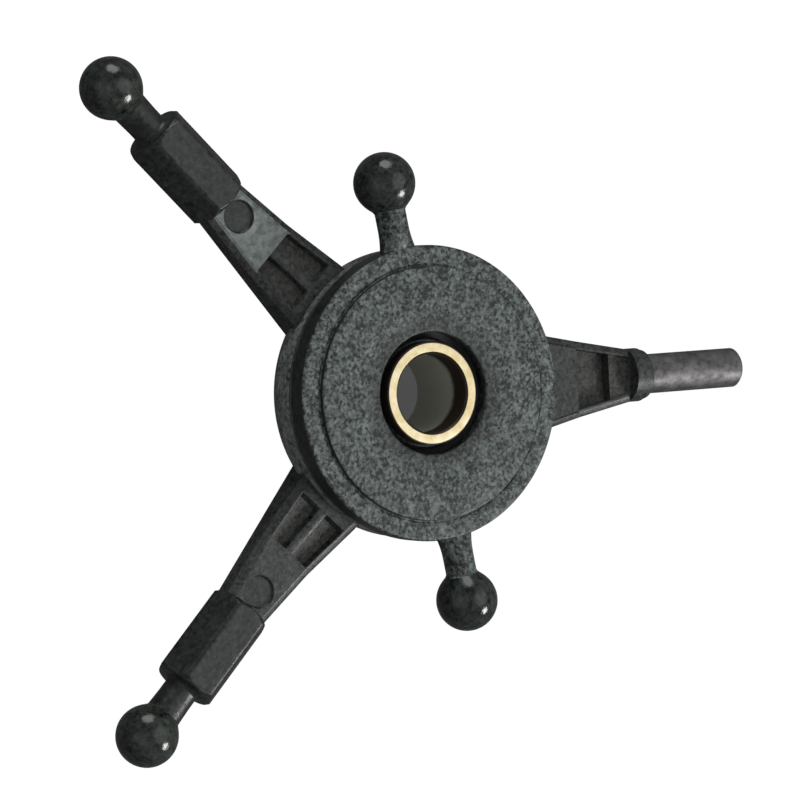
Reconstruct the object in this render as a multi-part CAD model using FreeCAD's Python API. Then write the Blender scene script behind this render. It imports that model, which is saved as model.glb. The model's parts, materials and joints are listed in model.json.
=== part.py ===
"""Swashplate of a small model helicopter, as separate parts.

Row frame: the origin is the centre of the tilting ball, +Z runs up the main shaft and +X runs
along the anti-rotation guide pin. Lengths are millimetres and angles are degrees. Each function
returns one part in its place, and the loop at the end writes one STEP file per part.
"""
import FreeCAD, Part
import math
import os

# Main shaft and the brass sleeve that slides on it
SHAFT_DIAMETER = 3.0
SHAFT_CLEARANCE = 0.025
SLEEVE_WALL = 0.475
SLEEVE_LENGTH = 3.76
SLEEVE_RECESS = 0.10
SLEEVE_CHAMFER = 0.08

# Tilting ball on the sleeve, the liner round it and the travel that they allow
CENTRE_BALL_DIAMETER = 5.0
CENTRE_BALL_END_LAND = 0.06
RUNNING_CLEARANCE = 0.02
LINER_THICKNESS = 0.28
LINER_HALF_BAND = 30.0
TILT_PER_AXIS = 7.0
TILT_MARGIN = 0.05

# Rotating plate
PLATE_DIAMETER = 11.4
PLATE_THICKNESS = 0.90
PLATE_EDGE_ROUND = 0.12
PLATEAU_DIAMETER = 9.8
PLATEAU_STEP = 0.16
PLATEAU_EDGE_ROUND = 0.07
MOUTH_CHAMFER = 0.10
SOCKET_CAP_WALL = 0.33
NECK_WALL = 0.35
UNDERSIDE_GROOVE_DEPTH = 0.28
UNDERSIDE_RIM = 0.45
CAP_FLANGE_CHAMFER = 0.10

# Ball race between the two plates
RACE_TOP_Z = 0.45
RACE_WIDTH = 1.4
RACE_WALL = 0.25
RACE_LAND_GAP = 0.44
RACE_BALL_DIAMETER = 0.70
RACE_BALL_COUNT = 13
RACE_EDGE_CHAMFER = 0.06
CAGE_SIDE_CLEARANCE = 0.06
CAGE_POCKET_CLEARANCE = 0.04
CAGE_WEB = 0.14
CAGE_FINGER_DEPTH = 0.18

# Stationary ring round the race
RING_WALL = 0.90
RING_STRAIGHT_HEIGHT = 1.05
RING_FOOT_WALL = 0.42
RING_LIP_THICKNESS = 0.30
RING_LIP_OVERHANG = 0.20
RING_EDGE_ROUND = 0.10
PLATE_GAP = 0.25
RETAINER_THICKNESS = 0.22
RETAINER_GROOVE_DEPTH = 0.12
RETAINER_OVERHANG = 0.22
RETAINER_GAP_ANGLE = 16.0
RING_FOOT_HEIGHT = 0.23

# Ball studs: one size of ball for the servo links and the rotor links
LINK_BALL_DIAMETER = 2.4
ROTOR_BALL_RADIUS = 8.25
ROTOR_BALL_ANGLE = 99.5
ROTOR_NECK_DIAMETER = 1.2
ROTOR_NECK_ROOT_WIDTH = 1.5
ROTOR_NECK_ROOT_DEPTH = 0.3
ROTOR_NECK_FLARE = 0.75
BALL_SWEEP_CLEARANCE = 0.35

# Servo arms of the stationary ring
SERVO_BALL_RADIUS = 16.9
SERVO_HALF_ANGLE = 46.0
ARM_THICKNESS = 1.0
ARM_ROOT_DROP = 0.4
ARM_EDGE_ROUND = 0.12
SERVO_ARM_ROOT_WIDTH = 3.1
SERVO_ARM_TIP_WIDTH = 2.0
GUSSET_RIB_WIDTH = 0.45
ARM_RIM_WIDTH = 0.38
RAMP_POCKET_DEPTH = 0.30
RAMP_POCKET_START = 0.35
DIMPLE_DIAMETER = 1.25
DIMPLE_DEPTH = 0.12
DIMPLE_FROM_TIP = 0.82

# Hexagonal ball studs in the servo arms
HEX_LENGTH = 3.8
HEX_ACROSS_FLATS = 2.3
HEX_END_CHAMFER = 0.22
STUD_NECK_LENGTH = 1.15
STUD_NECK_DIAMETER = 1.35
STUD_NECK_FLARE = 0.2
STUD_SPIGOT_DIAMETER = 0.6
STUD_SPIGOT_LENGTH = 2.2

# Guide arm and its pin
GUIDE_PIN_TIP_RADIUS = 15.95
GUIDE_PIN_DIAMETER = 1.6
GUIDE_PIN_EXPOSED = 4.55
GUIDE_PIN_TIP_CHAMFER = 0.12
GUIDE_PIN_TAIL_DIAMETER = 0.6
GUIDE_PIN_TAIL_LENGTH = 1.1
GUIDE_COLLAR_WALL = 0.2
GUIDE_COLLAR_LENGTH = 0.55
GUIDE_COLLAR_LIP = 0.3
GUIDE_COLLAR_LIP_HEIGHT = 0.08
GUIDE_ARM_ROOT_WIDTH = 4.0
GUIDE_ARM_TIP_WIDTH = 2.0
GUIDE_POCKET_RIM = 0.3
GUIDE_POCKET_STEP_DEPTH = 0.12
GUIDE_POCKET_DEPTH = 0.5
GUIDE_POCKET_END_WALL = 0.25

# Places worked out from the driving dimensions
Z = FreeCAD.Vector(0, 0, 1)
ORIGIN = FreeCAD.Vector(0, 0, 0)

sleeve_bore_r = SHAFT_DIAMETER / 2 + SHAFT_CLEARANCE
sleeve_r = sleeve_bore_r + SLEEVE_WALL
centre_ball_r = CENTRE_BALL_DIAMETER / 2
liner_inner_r = centre_ball_r + RUNNING_CLEARANCE
liner_outer_r = liner_inner_r + LINER_THICKNESS
socket_r = liner_outer_r + RUNNING_CLEARANCE

ring_top_z = RACE_TOP_Z + RING_LIP_THICKNESS
plate_bottom_z = ring_top_z + PLATE_GAP
plate_top_z = plate_bottom_z + PLATE_THICKNESS
plate_mid_z = (plate_bottom_z + plate_top_z) / 2
plateau_top_z = plate_top_z + PLATEAU_STEP
sleeve_top_z = plateau_top_z - SLEEVE_RECESS
sleeve_bottom_z = sleeve_top_z - SLEEVE_LENGTH

# Both tilts together lean the sleeve by this angle, and the mouths of the socket clear its ends
full_tilt = math.acos(math.cos(math.radians(TILT_PER_AXIS)) ** 2)
sleeve_reach = max(sleeve_top_z, -sleeve_bottom_z)
mouth_r = sleeve_r * math.cos(full_tilt) + sleeve_reach * math.sin(full_tilt) + TILT_MARGIN
mouth_z = math.sqrt(socket_r ** 2 - mouth_r ** 2)

cap_plug_r = socket_r + SOCKET_CAP_WALL
neck_r = cap_plug_r + NECK_WALL
race_ball_r = RACE_BALL_DIAMETER / 2
pitch_r = neck_r + RACE_WALL + race_ball_r
race_outer_r = pitch_r + race_ball_r + RACE_WALL
inner_land_r = pitch_r - RACE_LAND_GAP / 2
outer_land_r = pitch_r + RACE_LAND_GAP / 2
groove_r = race_ball_r + RUNNING_CLEARANCE
race_bottom_z = RACE_TOP_Z - RACE_WIDTH
race_mid_z = RACE_TOP_Z - RACE_WIDTH / 2
cap_bottom_z = min(race_bottom_z, -mouth_z) - CAP_FLANGE_CHAMFER / 2

ring_r = race_outer_r + RING_WALL
ring_foot_r = race_outer_r + RING_FOOT_WALL
ring_bottom_z = race_bottom_z - RETAINER_THICKNESS - RING_FOOT_HEIGHT
retainer_groove_r = race_outer_r + RETAINER_GROOVE_DEPTH

link_ball_r = LINK_BALL_DIAMETER / 2
sweep_r = link_ball_r + BALL_SWEEP_CLEARANCE
arm_top_z = plate_mid_z - sweep_r
arm_bottom_z = arm_top_z - ARM_THICKNESS
arm_axis_z = (arm_top_z + arm_bottom_z) / 2
arm_root_z = ring_top_z - ARM_ROOT_DROP
arm_start_r = (race_outer_r + ring_foot_r) / 2
servo_arm_end_r = SERVO_BALL_RADIUS - link_ball_r - STUD_NECK_LENGTH - HEX_LENGTH
guide_collar_end_r = GUIDE_PIN_TIP_RADIUS - GUIDE_PIN_EXPOSED
guide_arm_end_r = guide_collar_end_r - GUIDE_COLLAR_LENGTH
guide_pin_r = GUIDE_PIN_DIAMETER / 2


def revolve(points, angle=360.0, start=0.0):
    """Turn a closed outline of (radius, height) points about the shaft axis."""
    corners = [FreeCAD.Vector(r, 0, z) for r, z in points]
    face = Part.Face(Part.makePolygon(corners + corners[:1]))
    solid = face.revolve(ORIGIN, Z, angle)
    solid.rotate(ORIGIN, Z, start)
    return solid


def annulus(inner, outer, bottom, top):
    """Give a plain ring between two radii and two heights."""
    return revolve([(inner, bottom), (outer, bottom), (outer, top), (inner, top)])


def sphere(radius, x=0.0, y=0.0, z=0.0):
    """Give a ball at a place."""
    ball = Part.makeSphere(radius)
    ball.translate(FreeCAD.Vector(x, y, z))
    return ball


def rod(radius, start_x, end_x, z):
    """Give a round bar along +X at a height."""
    return Part.makeCylinder(radius, end_x - start_x, FreeCAD.Vector(start_x, 0, z), FreeCAD.Vector(1, 0, 0))


def circle_edges(shape, places):
    """Pick the circular edges about the shaft axis at the given (radius, height) places."""
    picked = []
    for edge in shape.Edges:
        if not isinstance(edge.Curve, Part.Circle):
            continue
        centre = edge.Curve.Center
        for radius, height in places:
            near = abs(edge.Curve.Radius - radius) < 1e-4 and abs(centre.z - height) < 1e-4
            if near and math.hypot(centre.x, centre.y) < 1e-4:
                picked.append(edge)
    return picked


def turned(shape, angle):
    """Turn a shape about the shaft axis to its place."""
    shape.rotate(ORIGIN, Z, angle)
    return shape


def shaft_sleeve():
    """Brass tube that slides and turns on the main shaft."""
    tube = annulus(sleeve_bore_r, sleeve_r, sleeve_bottom_z, sleeve_top_z)
    ends = [(r, z) for r in (sleeve_bore_r, sleeve_r) for z in (sleeve_bottom_z, sleeve_top_z)]
    return tube.makeChamfer(SLEEVE_CHAMFER, circle_edges(tube, ends))


def centre_ball():
    """Ball pressed on the sleeve, cut flat where it meets the tube."""
    half_height = math.sqrt(centre_ball_r ** 2 - (sleeve_r + CENTRE_BALL_END_LAND) ** 2)
    return sphere(centre_ball_r).common(annulus(sleeve_r, centre_ball_r + 1, -half_height, half_height))


def seat_liner():
    """Thin spherical band that runs between the ball and its socket."""
    reach = 2 * liner_outer_r
    slope = math.tan(math.radians(LINER_HALF_BAND))
    wedge = revolve([(0, 0), (reach, -reach * slope), (reach, reach * slope)])
    shell = sphere(liner_outer_r).cut(sphere(liner_inner_r))
    return shell.common(wedge)


def rotor_neck_and_ball():
    """One link ball with its flared neck, along +X from the edge of the rotating plate."""
    plate_r = PLATE_DIAMETER / 2
    along = FreeCAD.Vector(1, 0, 0)
    root_x = plate_r - ROTOR_NECK_ROOT_DEPTH
    flare_x = plate_r + ROTOR_NECK_FLARE
    root = Part.Ellipse(ORIGIN, ROTOR_NECK_ROOT_WIDTH / 2, PLATE_THICKNESS / 2 - PLATE_EDGE_ROUND / 4).toShape()
    root.rotate(ORIGIN, FreeCAD.Vector(1, 1, 1), 120)
    root.translate(FreeCAD.Vector(root_x, 0, plate_mid_z))
    waist = Part.makeCircle(ROTOR_NECK_DIAMETER / 2, FreeCAD.Vector(flare_x, 0, plate_mid_z), along)
    flare = Part.makeLoft([Part.Wire(root), Part.Wire(waist)], True)
    neck = rod(ROTOR_NECK_DIAMETER / 2, flare_x, ROTOR_BALL_RADIUS, plate_mid_z)
    return flare.fuse(neck).fuse(sphere(link_ball_r, ROTOR_BALL_RADIUS, 0, plate_mid_z))


def rotor_plate():
    """Rotating plate: stepped disc, spherical socket, bearing neck and two link balls."""
    plate_r = PLATE_DIAMETER / 2
    plateau_r = PLATEAU_DIAMETER / 2
    disc = revolve([
        (0, race_bottom_z), (neck_r, race_bottom_z), (neck_r, RACE_TOP_Z), (inner_land_r, RACE_TOP_Z),
        (inner_land_r, plate_bottom_z), (plate_r, plate_bottom_z), (plate_r, plate_top_z),
        (plateau_r, plate_top_z), (plateau_r, plateau_top_z), (0, plateau_top_z)])
    rim = circle_edges(disc, [(plate_r, plate_bottom_z), (plate_r, plate_top_z)])
    disc = disc.makeFillet(PLATE_EDGE_ROUND, rim)
    disc = disc.makeFillet(PLATEAU_EDGE_ROUND, circle_edges(disc, [(plateau_r, plateau_top_z)]))
    for angle in (ROTOR_BALL_ANGLE, ROTOR_BALL_ANGLE + 180):
        disc = disc.fuse(turned(rotor_neck_and_ball(), angle))
    groove = annulus(inner_land_r + UNDERSIDE_RIM, plate_r - UNDERSIDE_RIM,
                     plate_bottom_z, plate_bottom_z + UNDERSIDE_GROOVE_DEPTH)
    mouth = revolve([
        (0, 0), (mouth_r, 0), (mouth_r, plateau_top_z - MOUTH_CHAMFER),
        (mouth_r + MOUTH_CHAMFER, plateau_top_z), (0, plateau_top_z)])
    plug_bore = annulus(0, cap_plug_r, race_bottom_z, 0)
    return disc.cut(groove).cut(sphere(socket_r)).cut(mouth).cut(plug_bore).removeSplitter()


def socket_cap():
    """Cap pressed into the neck: lower half of the socket, and the shoulder under the race."""
    body = revolve([
        (0, cap_bottom_z), (inner_land_r - CAP_FLANGE_CHAMFER, cap_bottom_z),
        (inner_land_r, cap_bottom_z + CAP_FLANGE_CHAMFER), (inner_land_r, race_bottom_z),
        (cap_plug_r, race_bottom_z), (cap_plug_r, 0), (0, 0)])
    return body.cut(sphere(socket_r)).cut(annulus(0, mouth_r, cap_bottom_z, 0))


def race_groove():
    """Round groove that the race balls roll in."""
    return Part.makeTorus(pitch_r, groove_r, FreeCAD.Vector(0, 0, race_mid_z), Z)


def bearing_race(bore_r, outside_r):
    """One ring of the ball race, with chamfered edges and its groove."""
    ring = annulus(bore_r, outside_r, race_bottom_z, RACE_TOP_Z)
    outer_edge_r = neck_r if bore_r == neck_r else outside_r
    edges = circle_edges(ring, [(outer_edge_r, race_bottom_z), (outer_edge_r, RACE_TOP_Z)])
    return ring.makeChamfer(RACE_EDGE_CHAMFER, edges).cut(race_groove())


def race_ball_place(index):
    """Give the x and y of one race ball on the pitch circle."""
    angle = 2 * math.pi * index / RACE_BALL_COUNT
    return pitch_r * math.cos(angle), pitch_r * math.sin(angle)


def race_ball(index):
    """One steel ball of the race."""
    x, y = race_ball_place(index)
    return sphere(race_ball_r, x, y, race_mid_z)


def bearing_cage():
    """Crown cage: a web above the balls, with fingers that snap round each one."""
    pocket_r = race_ball_r + CAGE_POCKET_CLEARANCE
    crown = annulus(inner_land_r + CAGE_SIDE_CLEARANCE, outer_land_r - CAGE_SIDE_CLEARANCE,
                    race_mid_z - CAGE_FINGER_DEPTH, race_mid_z + pocket_r + CAGE_WEB)
    for index in range(RACE_BALL_COUNT):
        x, y = race_ball_place(index)
        crown = crown.cut(sphere(pocket_r, x, y, race_mid_z))
    return crown


def outer_race_retainer():
    """Split ring that snaps into its groove under the outer race."""
    sweep = 360 - RETAINER_GAP_ANGLE
    start = SERVO_HALF_ANGLE + RETAINER_GAP_ANGLE / 2
    inner = race_outer_r - RETAINER_OVERHANG
    bottom = race_bottom_z - RETAINER_THICKNESS
    outline = [(inner, bottom), (retainer_groove_r, bottom), (retainer_groove_r, race_bottom_z), (inner, race_bottom_z)]
    return revolve(outline, sweep, start)


def arm_side_profile(end_x):
    """Side of an arm: a ramp off the ring, a hollow under the swept link balls, then a flat top."""
    ball_x = ROTOR_BALL_RADIUS
    rise = plate_mid_z - arm_root_z
    run = ball_x - ring_r
    distance = math.hypot(run, rise)
    ramp_angle = math.atan2(rise, run) - math.asin(sweep_r / distance)
    touch_x = ball_x + sweep_r * math.sin(ramp_angle)
    touch_z = plate_mid_z - sweep_r * math.cos(ramp_angle)
    middle = ramp_angle / 2
    arc = Part.Arc(
        FreeCAD.Vector(touch_x, 0, touch_z),
        FreeCAD.Vector(ball_x + sweep_r * math.sin(middle), 0, plate_mid_z - sweep_r * math.cos(middle)),
        FreeCAD.Vector(ball_x, 0, arm_top_z)).toShape()
    lead_in = Part.makePolygon([
        FreeCAD.Vector(arm_start_r, 0, arm_bottom_z), FreeCAD.Vector(arm_start_r, 0, arm_root_z),
        FreeCAD.Vector(ring_r, 0, arm_root_z), FreeCAD.Vector(touch_x, 0, touch_z)])
    lead_out = Part.makePolygon([
        FreeCAD.Vector(ball_x, 0, arm_top_z), FreeCAD.Vector(end_x, 0, arm_top_z),
        FreeCAD.Vector(end_x, 0, arm_bottom_z), FreeCAD.Vector(arm_start_r, 0, arm_bottom_z)])
    return Part.Face(Part.Wire(lead_in.Edges + [arc] + lead_out.Edges)), touch_x, ramp_angle


def half_width(x, root_width, tip_width, end_x):
    """Half the width of a tapered arm at a distance from the shaft."""
    share = (x - ring_r) / (end_x - ring_r)
    return (root_width + share * (tip_width - root_width)) / 2


def arm_plan(root_width, tip_width, end_x):
    """Plan outline of an arm: a straight taper that starts inside the ring's wall."""
    start_half = half_width(arm_start_r, root_width, tip_width, end_x)
    tip_half = tip_width / 2
    return Part.Face(Part.makePolygon([
        FreeCAD.Vector(arm_start_r, -start_half, 0), FreeCAD.Vector(end_x, -tip_half, 0),
        FreeCAD.Vector(end_x, tip_half, 0), FreeCAD.Vector(arm_start_r, start_half, 0),
        FreeCAD.Vector(arm_start_r, -start_half, 0)]))


def long_edges(blank, end_x):
    """Pick the edges that run out to the tip along the bottom and along the flat top of an arm."""
    picked = []
    for edge in blank.Edges:
        box = edge.BoundBox
        runs_to_tip = abs(box.XMax - end_x) < 1e-4 and box.XMax > box.XMin + 0.5
        at_bottom = abs(box.ZMax - arm_bottom_z) < 1e-4
        at_top = abs(box.ZMin - arm_top_z) < 1e-4
        if runs_to_tip and (at_bottom or at_top):
            picked.append(edge)
    return picked


def arm_blank(root_width, tip_width, end_x):
    """Arm before its pockets, along +X: the plan outline cut to the side profile."""
    side, _, _ = arm_side_profile(end_x)
    side.translate(FreeCAD.Vector(0, -root_width, 0))
    slab = side.extrude(FreeCAD.Vector(0, 2 * root_width, 0))
    plan = arm_plan(root_width, tip_width, end_x)
    plan.translate(FreeCAD.Vector(0, 0, arm_bottom_z))
    blank = plan.extrude(FreeCAD.Vector(0, 0, arm_root_z - arm_bottom_z)).common(slab)
    return blank.makeFillet(ARM_EDGE_ROUND, long_edges(blank, end_x))


def tapered_pocket(start_x, end_x, start_halves, end_halves, floor_start_z, floor_end_z):
    """Pocket open at the top: four plan corners, with a floor that may slope along the arm."""
    top = ring_top_z + ARM_THICKNESS
    plan = Part.Face(Part.makePolygon([
        FreeCAD.Vector(start_x, start_halves[0], arm_bottom_z), FreeCAD.Vector(end_x, end_halves[0], arm_bottom_z),
        FreeCAD.Vector(end_x, end_halves[1], arm_bottom_z), FreeCAD.Vector(start_x, start_halves[1], arm_bottom_z),
        FreeCAD.Vector(start_x, start_halves[0], arm_bottom_z)]))
    column = plan.extrude(FreeCAD.Vector(0, 0, top - arm_bottom_z))
    reach = max(abs(value) for value in start_halves + end_halves)
    side = Part.Face(Part.makePolygon([
        FreeCAD.Vector(start_x, -reach, floor_start_z), FreeCAD.Vector(end_x, -reach, floor_end_z),
        FreeCAD.Vector(end_x, -reach, top), FreeCAD.Vector(start_x, -reach, top),
        FreeCAD.Vector(start_x, -reach, floor_start_z)]))
    return column.common(side.extrude(FreeCAD.Vector(0, 2 * reach, 0)))


def ramp_pockets(root_width, tip_width, end_x):
    """Two pockets in the ramp, which leave a gusset rib between them and a rim outside."""
    _, touch_x, ramp_angle = arm_side_profile(end_x)
    start_x = ring_r + RAMP_POCKET_START
    rib = GUSSET_RIB_WIDTH / 2
    start_half = half_width(start_x, root_width, tip_width, end_x) - ARM_RIM_WIDTH
    end_half = half_width(touch_x, root_width, tip_width, end_x) - ARM_RIM_WIDTH
    start_z = arm_root_z + (start_x - ring_r) * math.tan(ramp_angle) - RAMP_POCKET_DEPTH
    end_z = arm_root_z + (touch_x - ring_r) * math.tan(ramp_angle) - RAMP_POCKET_DEPTH
    pockets = []
    for side in (1, -1):
        pockets.append(tapered_pocket(
            start_x, touch_x, (side * rib, side * start_half), (side * rib, side * end_half), start_z, end_z))
    return pockets


def servo_arm():
    """Tapered servo arm with ramp pockets, a round dimple and the bore for its stud."""
    arm = arm_blank(SERVO_ARM_ROOT_WIDTH, SERVO_ARM_TIP_WIDTH, servo_arm_end_r)
    for pocket in ramp_pockets(SERVO_ARM_ROOT_WIDTH, SERVO_ARM_TIP_WIDTH, servo_arm_end_r):
        arm = arm.cut(pocket)
    dimple_place = FreeCAD.Vector(servo_arm_end_r - DIMPLE_FROM_TIP, 0, arm_top_z - DIMPLE_DEPTH)
    dimple = Part.makeCylinder(DIMPLE_DIAMETER / 2, 2 * DIMPLE_DEPTH, dimple_place)
    bore = rod(STUD_SPIGOT_DIAMETER / 2, servo_arm_end_r - STUD_SPIGOT_LENGTH, servo_arm_end_r, arm_axis_z)
    return arm.cut(dimple).cut(bore)


def guide_arm():
    """Short tapered arm with a stepped pocket, and the collar that grips the guide pin."""
    arm = arm_blank(GUIDE_ARM_ROOT_WIDTH, GUIDE_ARM_TIP_WIDTH, guide_arm_end_r)
    _, touch_x, _ = arm_side_profile(guide_arm_end_r)
    step_end_x = guide_arm_end_r - GUIDE_POCKET_END_WALL
    deep_end_x = guide_arm_end_r - GUIDE_PIN_TAIL_LENGTH - GUIDE_POCKET_END_WALL
    for end_x, depth in ((step_end_x, GUIDE_POCKET_STEP_DEPTH), (deep_end_x, GUIDE_POCKET_DEPTH)):
        start_half = half_width(touch_x, GUIDE_ARM_ROOT_WIDTH, GUIDE_ARM_TIP_WIDTH, guide_arm_end_r)
        end_half = half_width(end_x, GUIDE_ARM_ROOT_WIDTH, GUIDE_ARM_TIP_WIDTH, guide_arm_end_r)
        start_half -= GUIDE_POCKET_RIM
        end_half -= GUIDE_POCKET_RIM
        floor_z = arm_top_z - depth
        arm = arm.cut(tapered_pocket(
            touch_x, end_x, (-start_half, start_half), (-end_half, end_half), floor_z, floor_z))
    collar_r = guide_pin_r + GUIDE_COLLAR_WALL
    lip_r = collar_r + GUIDE_COLLAR_LIP_HEIGHT
    arm = arm.fuse(rod(collar_r, guide_arm_end_r, guide_collar_end_r, arm_axis_z))
    arm = arm.fuse(rod(lip_r, guide_arm_end_r, guide_arm_end_r + GUIDE_COLLAR_LIP, arm_axis_z))
    return arm


def guide_pin():
    """Straight pin that rides in the guide: its shoulder meets the collar, and a thinner tail is held inside."""
    tail_start = guide_arm_end_r - GUIDE_PIN_TAIL_LENGTH
    shank = rod(guide_pin_r, guide_collar_end_r, GUIDE_PIN_TIP_RADIUS - GUIDE_PIN_TIP_CHAMFER, arm_axis_z)
    tip = Part.makeCone(
        guide_pin_r, guide_pin_r - GUIDE_PIN_TIP_CHAMFER, GUIDE_PIN_TIP_CHAMFER,
        FreeCAD.Vector(GUIDE_PIN_TIP_RADIUS - GUIDE_PIN_TIP_CHAMFER, 0, arm_axis_z), FreeCAD.Vector(1, 0, 0))
    tail = rod(GUIDE_PIN_TAIL_DIAMETER / 2, tail_start, guide_collar_end_r, arm_axis_z)
    return shank.fuse(tip).fuse(tail).removeSplitter()


def stationary_ring():
    """Ring that does not turn: bearing seat, two servo arms and the guide arm in one moulding."""
    taper_z = ring_top_z - RING_STRAIGHT_HEIGHT
    ring = revolve([
        (0, ring_bottom_z), (ring_foot_r, ring_bottom_z), (ring_r, taper_z), (ring_r, ring_top_z), (0, ring_top_z)])
    ring = ring.makeFillet(RING_EDGE_ROUND, circle_edges(ring, [(ring_r, ring_top_z), (ring_foot_r, ring_bottom_z)]))
    for angle in (180 - SERVO_HALF_ANGLE, 180 + SERVO_HALF_ANGLE):
        ring = ring.fuse(turned(servo_arm(), angle))
    ring = ring.fuse(guide_arm())
    lip_r = race_outer_r - RING_LIP_OVERHANG
    groove_bottom_z = race_bottom_z - RETAINER_THICKNESS
    seat = revolve([
        (0, ring_bottom_z), (race_outer_r, ring_bottom_z), (race_outer_r, groove_bottom_z),
        (retainer_groove_r, groove_bottom_z), (retainer_groove_r, race_bottom_z),
        (race_outer_r, race_bottom_z), (race_outer_r, RACE_TOP_Z), (lip_r, RACE_TOP_Z),
        (lip_r, ring_top_z), (0, ring_top_z)])
    return ring.cut(seat).cut(guide_pin()).removeSplitter()


def servo_stud(angle):
    """Ball stud of a servo arm: spigot, hexagonal body, waisted neck and link ball."""
    hex_end_x = servo_arm_end_r + HEX_LENGTH
    corner_r = HEX_ACROSS_FLATS / math.sqrt(3)
    flank_r = corner_r - HEX_END_CHAMFER
    corners = []
    for index in range(7):
        turn = math.radians(60 * index)
        corners.append(FreeCAD.Vector(servo_arm_end_r, corner_r * math.cos(turn), corner_r * math.sin(turn)))
    prism = Part.Face(Part.makePolygon(corners)).extrude(FreeCAD.Vector(HEX_LENGTH, 0, 0))
    envelope = Part.Face(Part.makePolygon([
        FreeCAD.Vector(servo_arm_end_r, 0, 0), FreeCAD.Vector(servo_arm_end_r, flank_r, 0),
        FreeCAD.Vector(servo_arm_end_r + HEX_END_CHAMFER, corner_r, 0),
        FreeCAD.Vector(hex_end_x - HEX_END_CHAMFER, corner_r, 0),
        FreeCAD.Vector(hex_end_x, flank_r, 0), FreeCAD.Vector(hex_end_x, 0, 0),
        FreeCAD.Vector(servo_arm_end_r, 0, 0)])).revolve(ORIGIN, FreeCAD.Vector(1, 0, 0), 360)
    neck_r = STUD_NECK_DIAMETER / 2
    flare = Part.makeCone(
        neck_r + STUD_NECK_FLARE, neck_r, STUD_NECK_FLARE,
        FreeCAD.Vector(hex_end_x, 0, 0), FreeCAD.Vector(1, 0, 0))
    stud = prism.common(envelope).fuse(flare)
    stud = stud.fuse(rod(neck_r, hex_end_x, SERVO_BALL_RADIUS, 0))
    stud = stud.fuse(sphere(link_ball_r, SERVO_BALL_RADIUS))
    stud = stud.fuse(rod(STUD_SPIGOT_DIAMETER / 2, servo_arm_end_r - STUD_SPIGOT_LENGTH, servo_arm_end_r, 0))
    stud.translate(FreeCAD.Vector(0, 0, arm_axis_z))
    return turned(stud.removeSplitter(), angle)


def all_parts():
    """Give every part of the swashplate under the name of its file."""
    parts = {
        "shaft_sleeve": shaft_sleeve(),
        "centre_ball": centre_ball(),
        "seat_liner": seat_liner(),
        "rotor_plate": rotor_plate(),
        "socket_cap": socket_cap(),
        "bearing_inner_race": bearing_race(neck_r, inner_land_r),
        "bearing_outer_race": bearing_race(outer_land_r, race_outer_r),
        "bearing_cage": bearing_cage(),
        "outer_race_retainer": outer_race_retainer(),
        "stationary_ring": stationary_ring(),
        "servo_stud_a": servo_stud(180 - SERVO_HALF_ANGLE),
        "servo_stud_b": servo_stud(180 + SERVO_HALF_ANGLE),
        "guide_pin": guide_pin(),
    }
    for index in range(RACE_BALL_COUNT):
        parts[f"bearing_ball_{index + 1:02d}"] = race_ball(index)
    return parts


os.makedirs("parts", exist_ok=True)
for name, solid in all_parts().items():
    solid.exportStep(f"parts/{name}.step")
    box = solid.BoundBox
    print(f"{name}: {len(solid.Solids)} solid, valid {solid.isValid()}, volume {solid.Volume:.3f} mm3, "
          f"x {box.XMin:.2f} to {box.XMax:.2f}, y {box.YMin:.2f} to {box.YMax:.2f}, z {box.ZMin:.2f} to {box.ZMax:.2f}")
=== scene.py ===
"""Looks of a small model helicopter's swashplate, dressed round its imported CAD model.

Everything is in metres in the CAD's own frame: the origin is the centre of the tilting ball, +Z runs up
the main shaft and +X along the guide pin. Sizes in the classes are millimetres, as on a drawing.
"""

from __future__ import annotations

import json
import logging
import math
from collections.abc import Callable, Sequence
from dataclasses import dataclass
from enum import Enum, IntEnum

import bmesh
import bpy
from mathutils import Matrix, Vector


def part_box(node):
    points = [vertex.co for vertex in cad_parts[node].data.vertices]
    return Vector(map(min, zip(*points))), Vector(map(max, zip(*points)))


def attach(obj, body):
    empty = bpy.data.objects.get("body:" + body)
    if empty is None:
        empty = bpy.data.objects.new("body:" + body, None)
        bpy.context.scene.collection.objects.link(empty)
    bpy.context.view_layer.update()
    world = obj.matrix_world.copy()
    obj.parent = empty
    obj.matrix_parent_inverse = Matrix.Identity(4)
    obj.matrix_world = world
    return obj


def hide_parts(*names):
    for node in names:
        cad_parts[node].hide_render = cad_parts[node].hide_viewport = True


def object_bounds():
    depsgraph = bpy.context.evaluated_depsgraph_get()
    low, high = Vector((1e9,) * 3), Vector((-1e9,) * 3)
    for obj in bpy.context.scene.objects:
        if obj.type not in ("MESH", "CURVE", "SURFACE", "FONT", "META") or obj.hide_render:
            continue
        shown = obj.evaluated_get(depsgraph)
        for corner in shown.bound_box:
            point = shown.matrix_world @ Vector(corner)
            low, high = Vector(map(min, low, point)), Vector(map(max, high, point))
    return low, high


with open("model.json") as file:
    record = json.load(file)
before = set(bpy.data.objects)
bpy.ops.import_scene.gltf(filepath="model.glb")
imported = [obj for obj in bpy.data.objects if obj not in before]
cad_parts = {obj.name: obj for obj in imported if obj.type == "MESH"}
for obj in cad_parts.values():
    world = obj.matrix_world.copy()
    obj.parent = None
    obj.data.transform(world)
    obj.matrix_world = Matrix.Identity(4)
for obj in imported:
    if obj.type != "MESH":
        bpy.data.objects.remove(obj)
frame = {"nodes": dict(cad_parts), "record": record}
cad_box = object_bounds()

LOG = logging.getLogger("swashplate")
MM = 0.001
SMOOTH_LIMIT = math.radians(32)
LATHE_SEGMENTS = 160
SNAP = 2e-7
ON_AXIS_MM = 1e-6
NEARLY_STRAIGHT = math.pi - 0.02
LONGEST_ROUND_SHARE = 0.48

# Inputs and output of Blender's Mix node when it mixes colours.
COLOUR_A, COLOUR_B, COLOUR_OUT = 6, 7, 2

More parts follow.
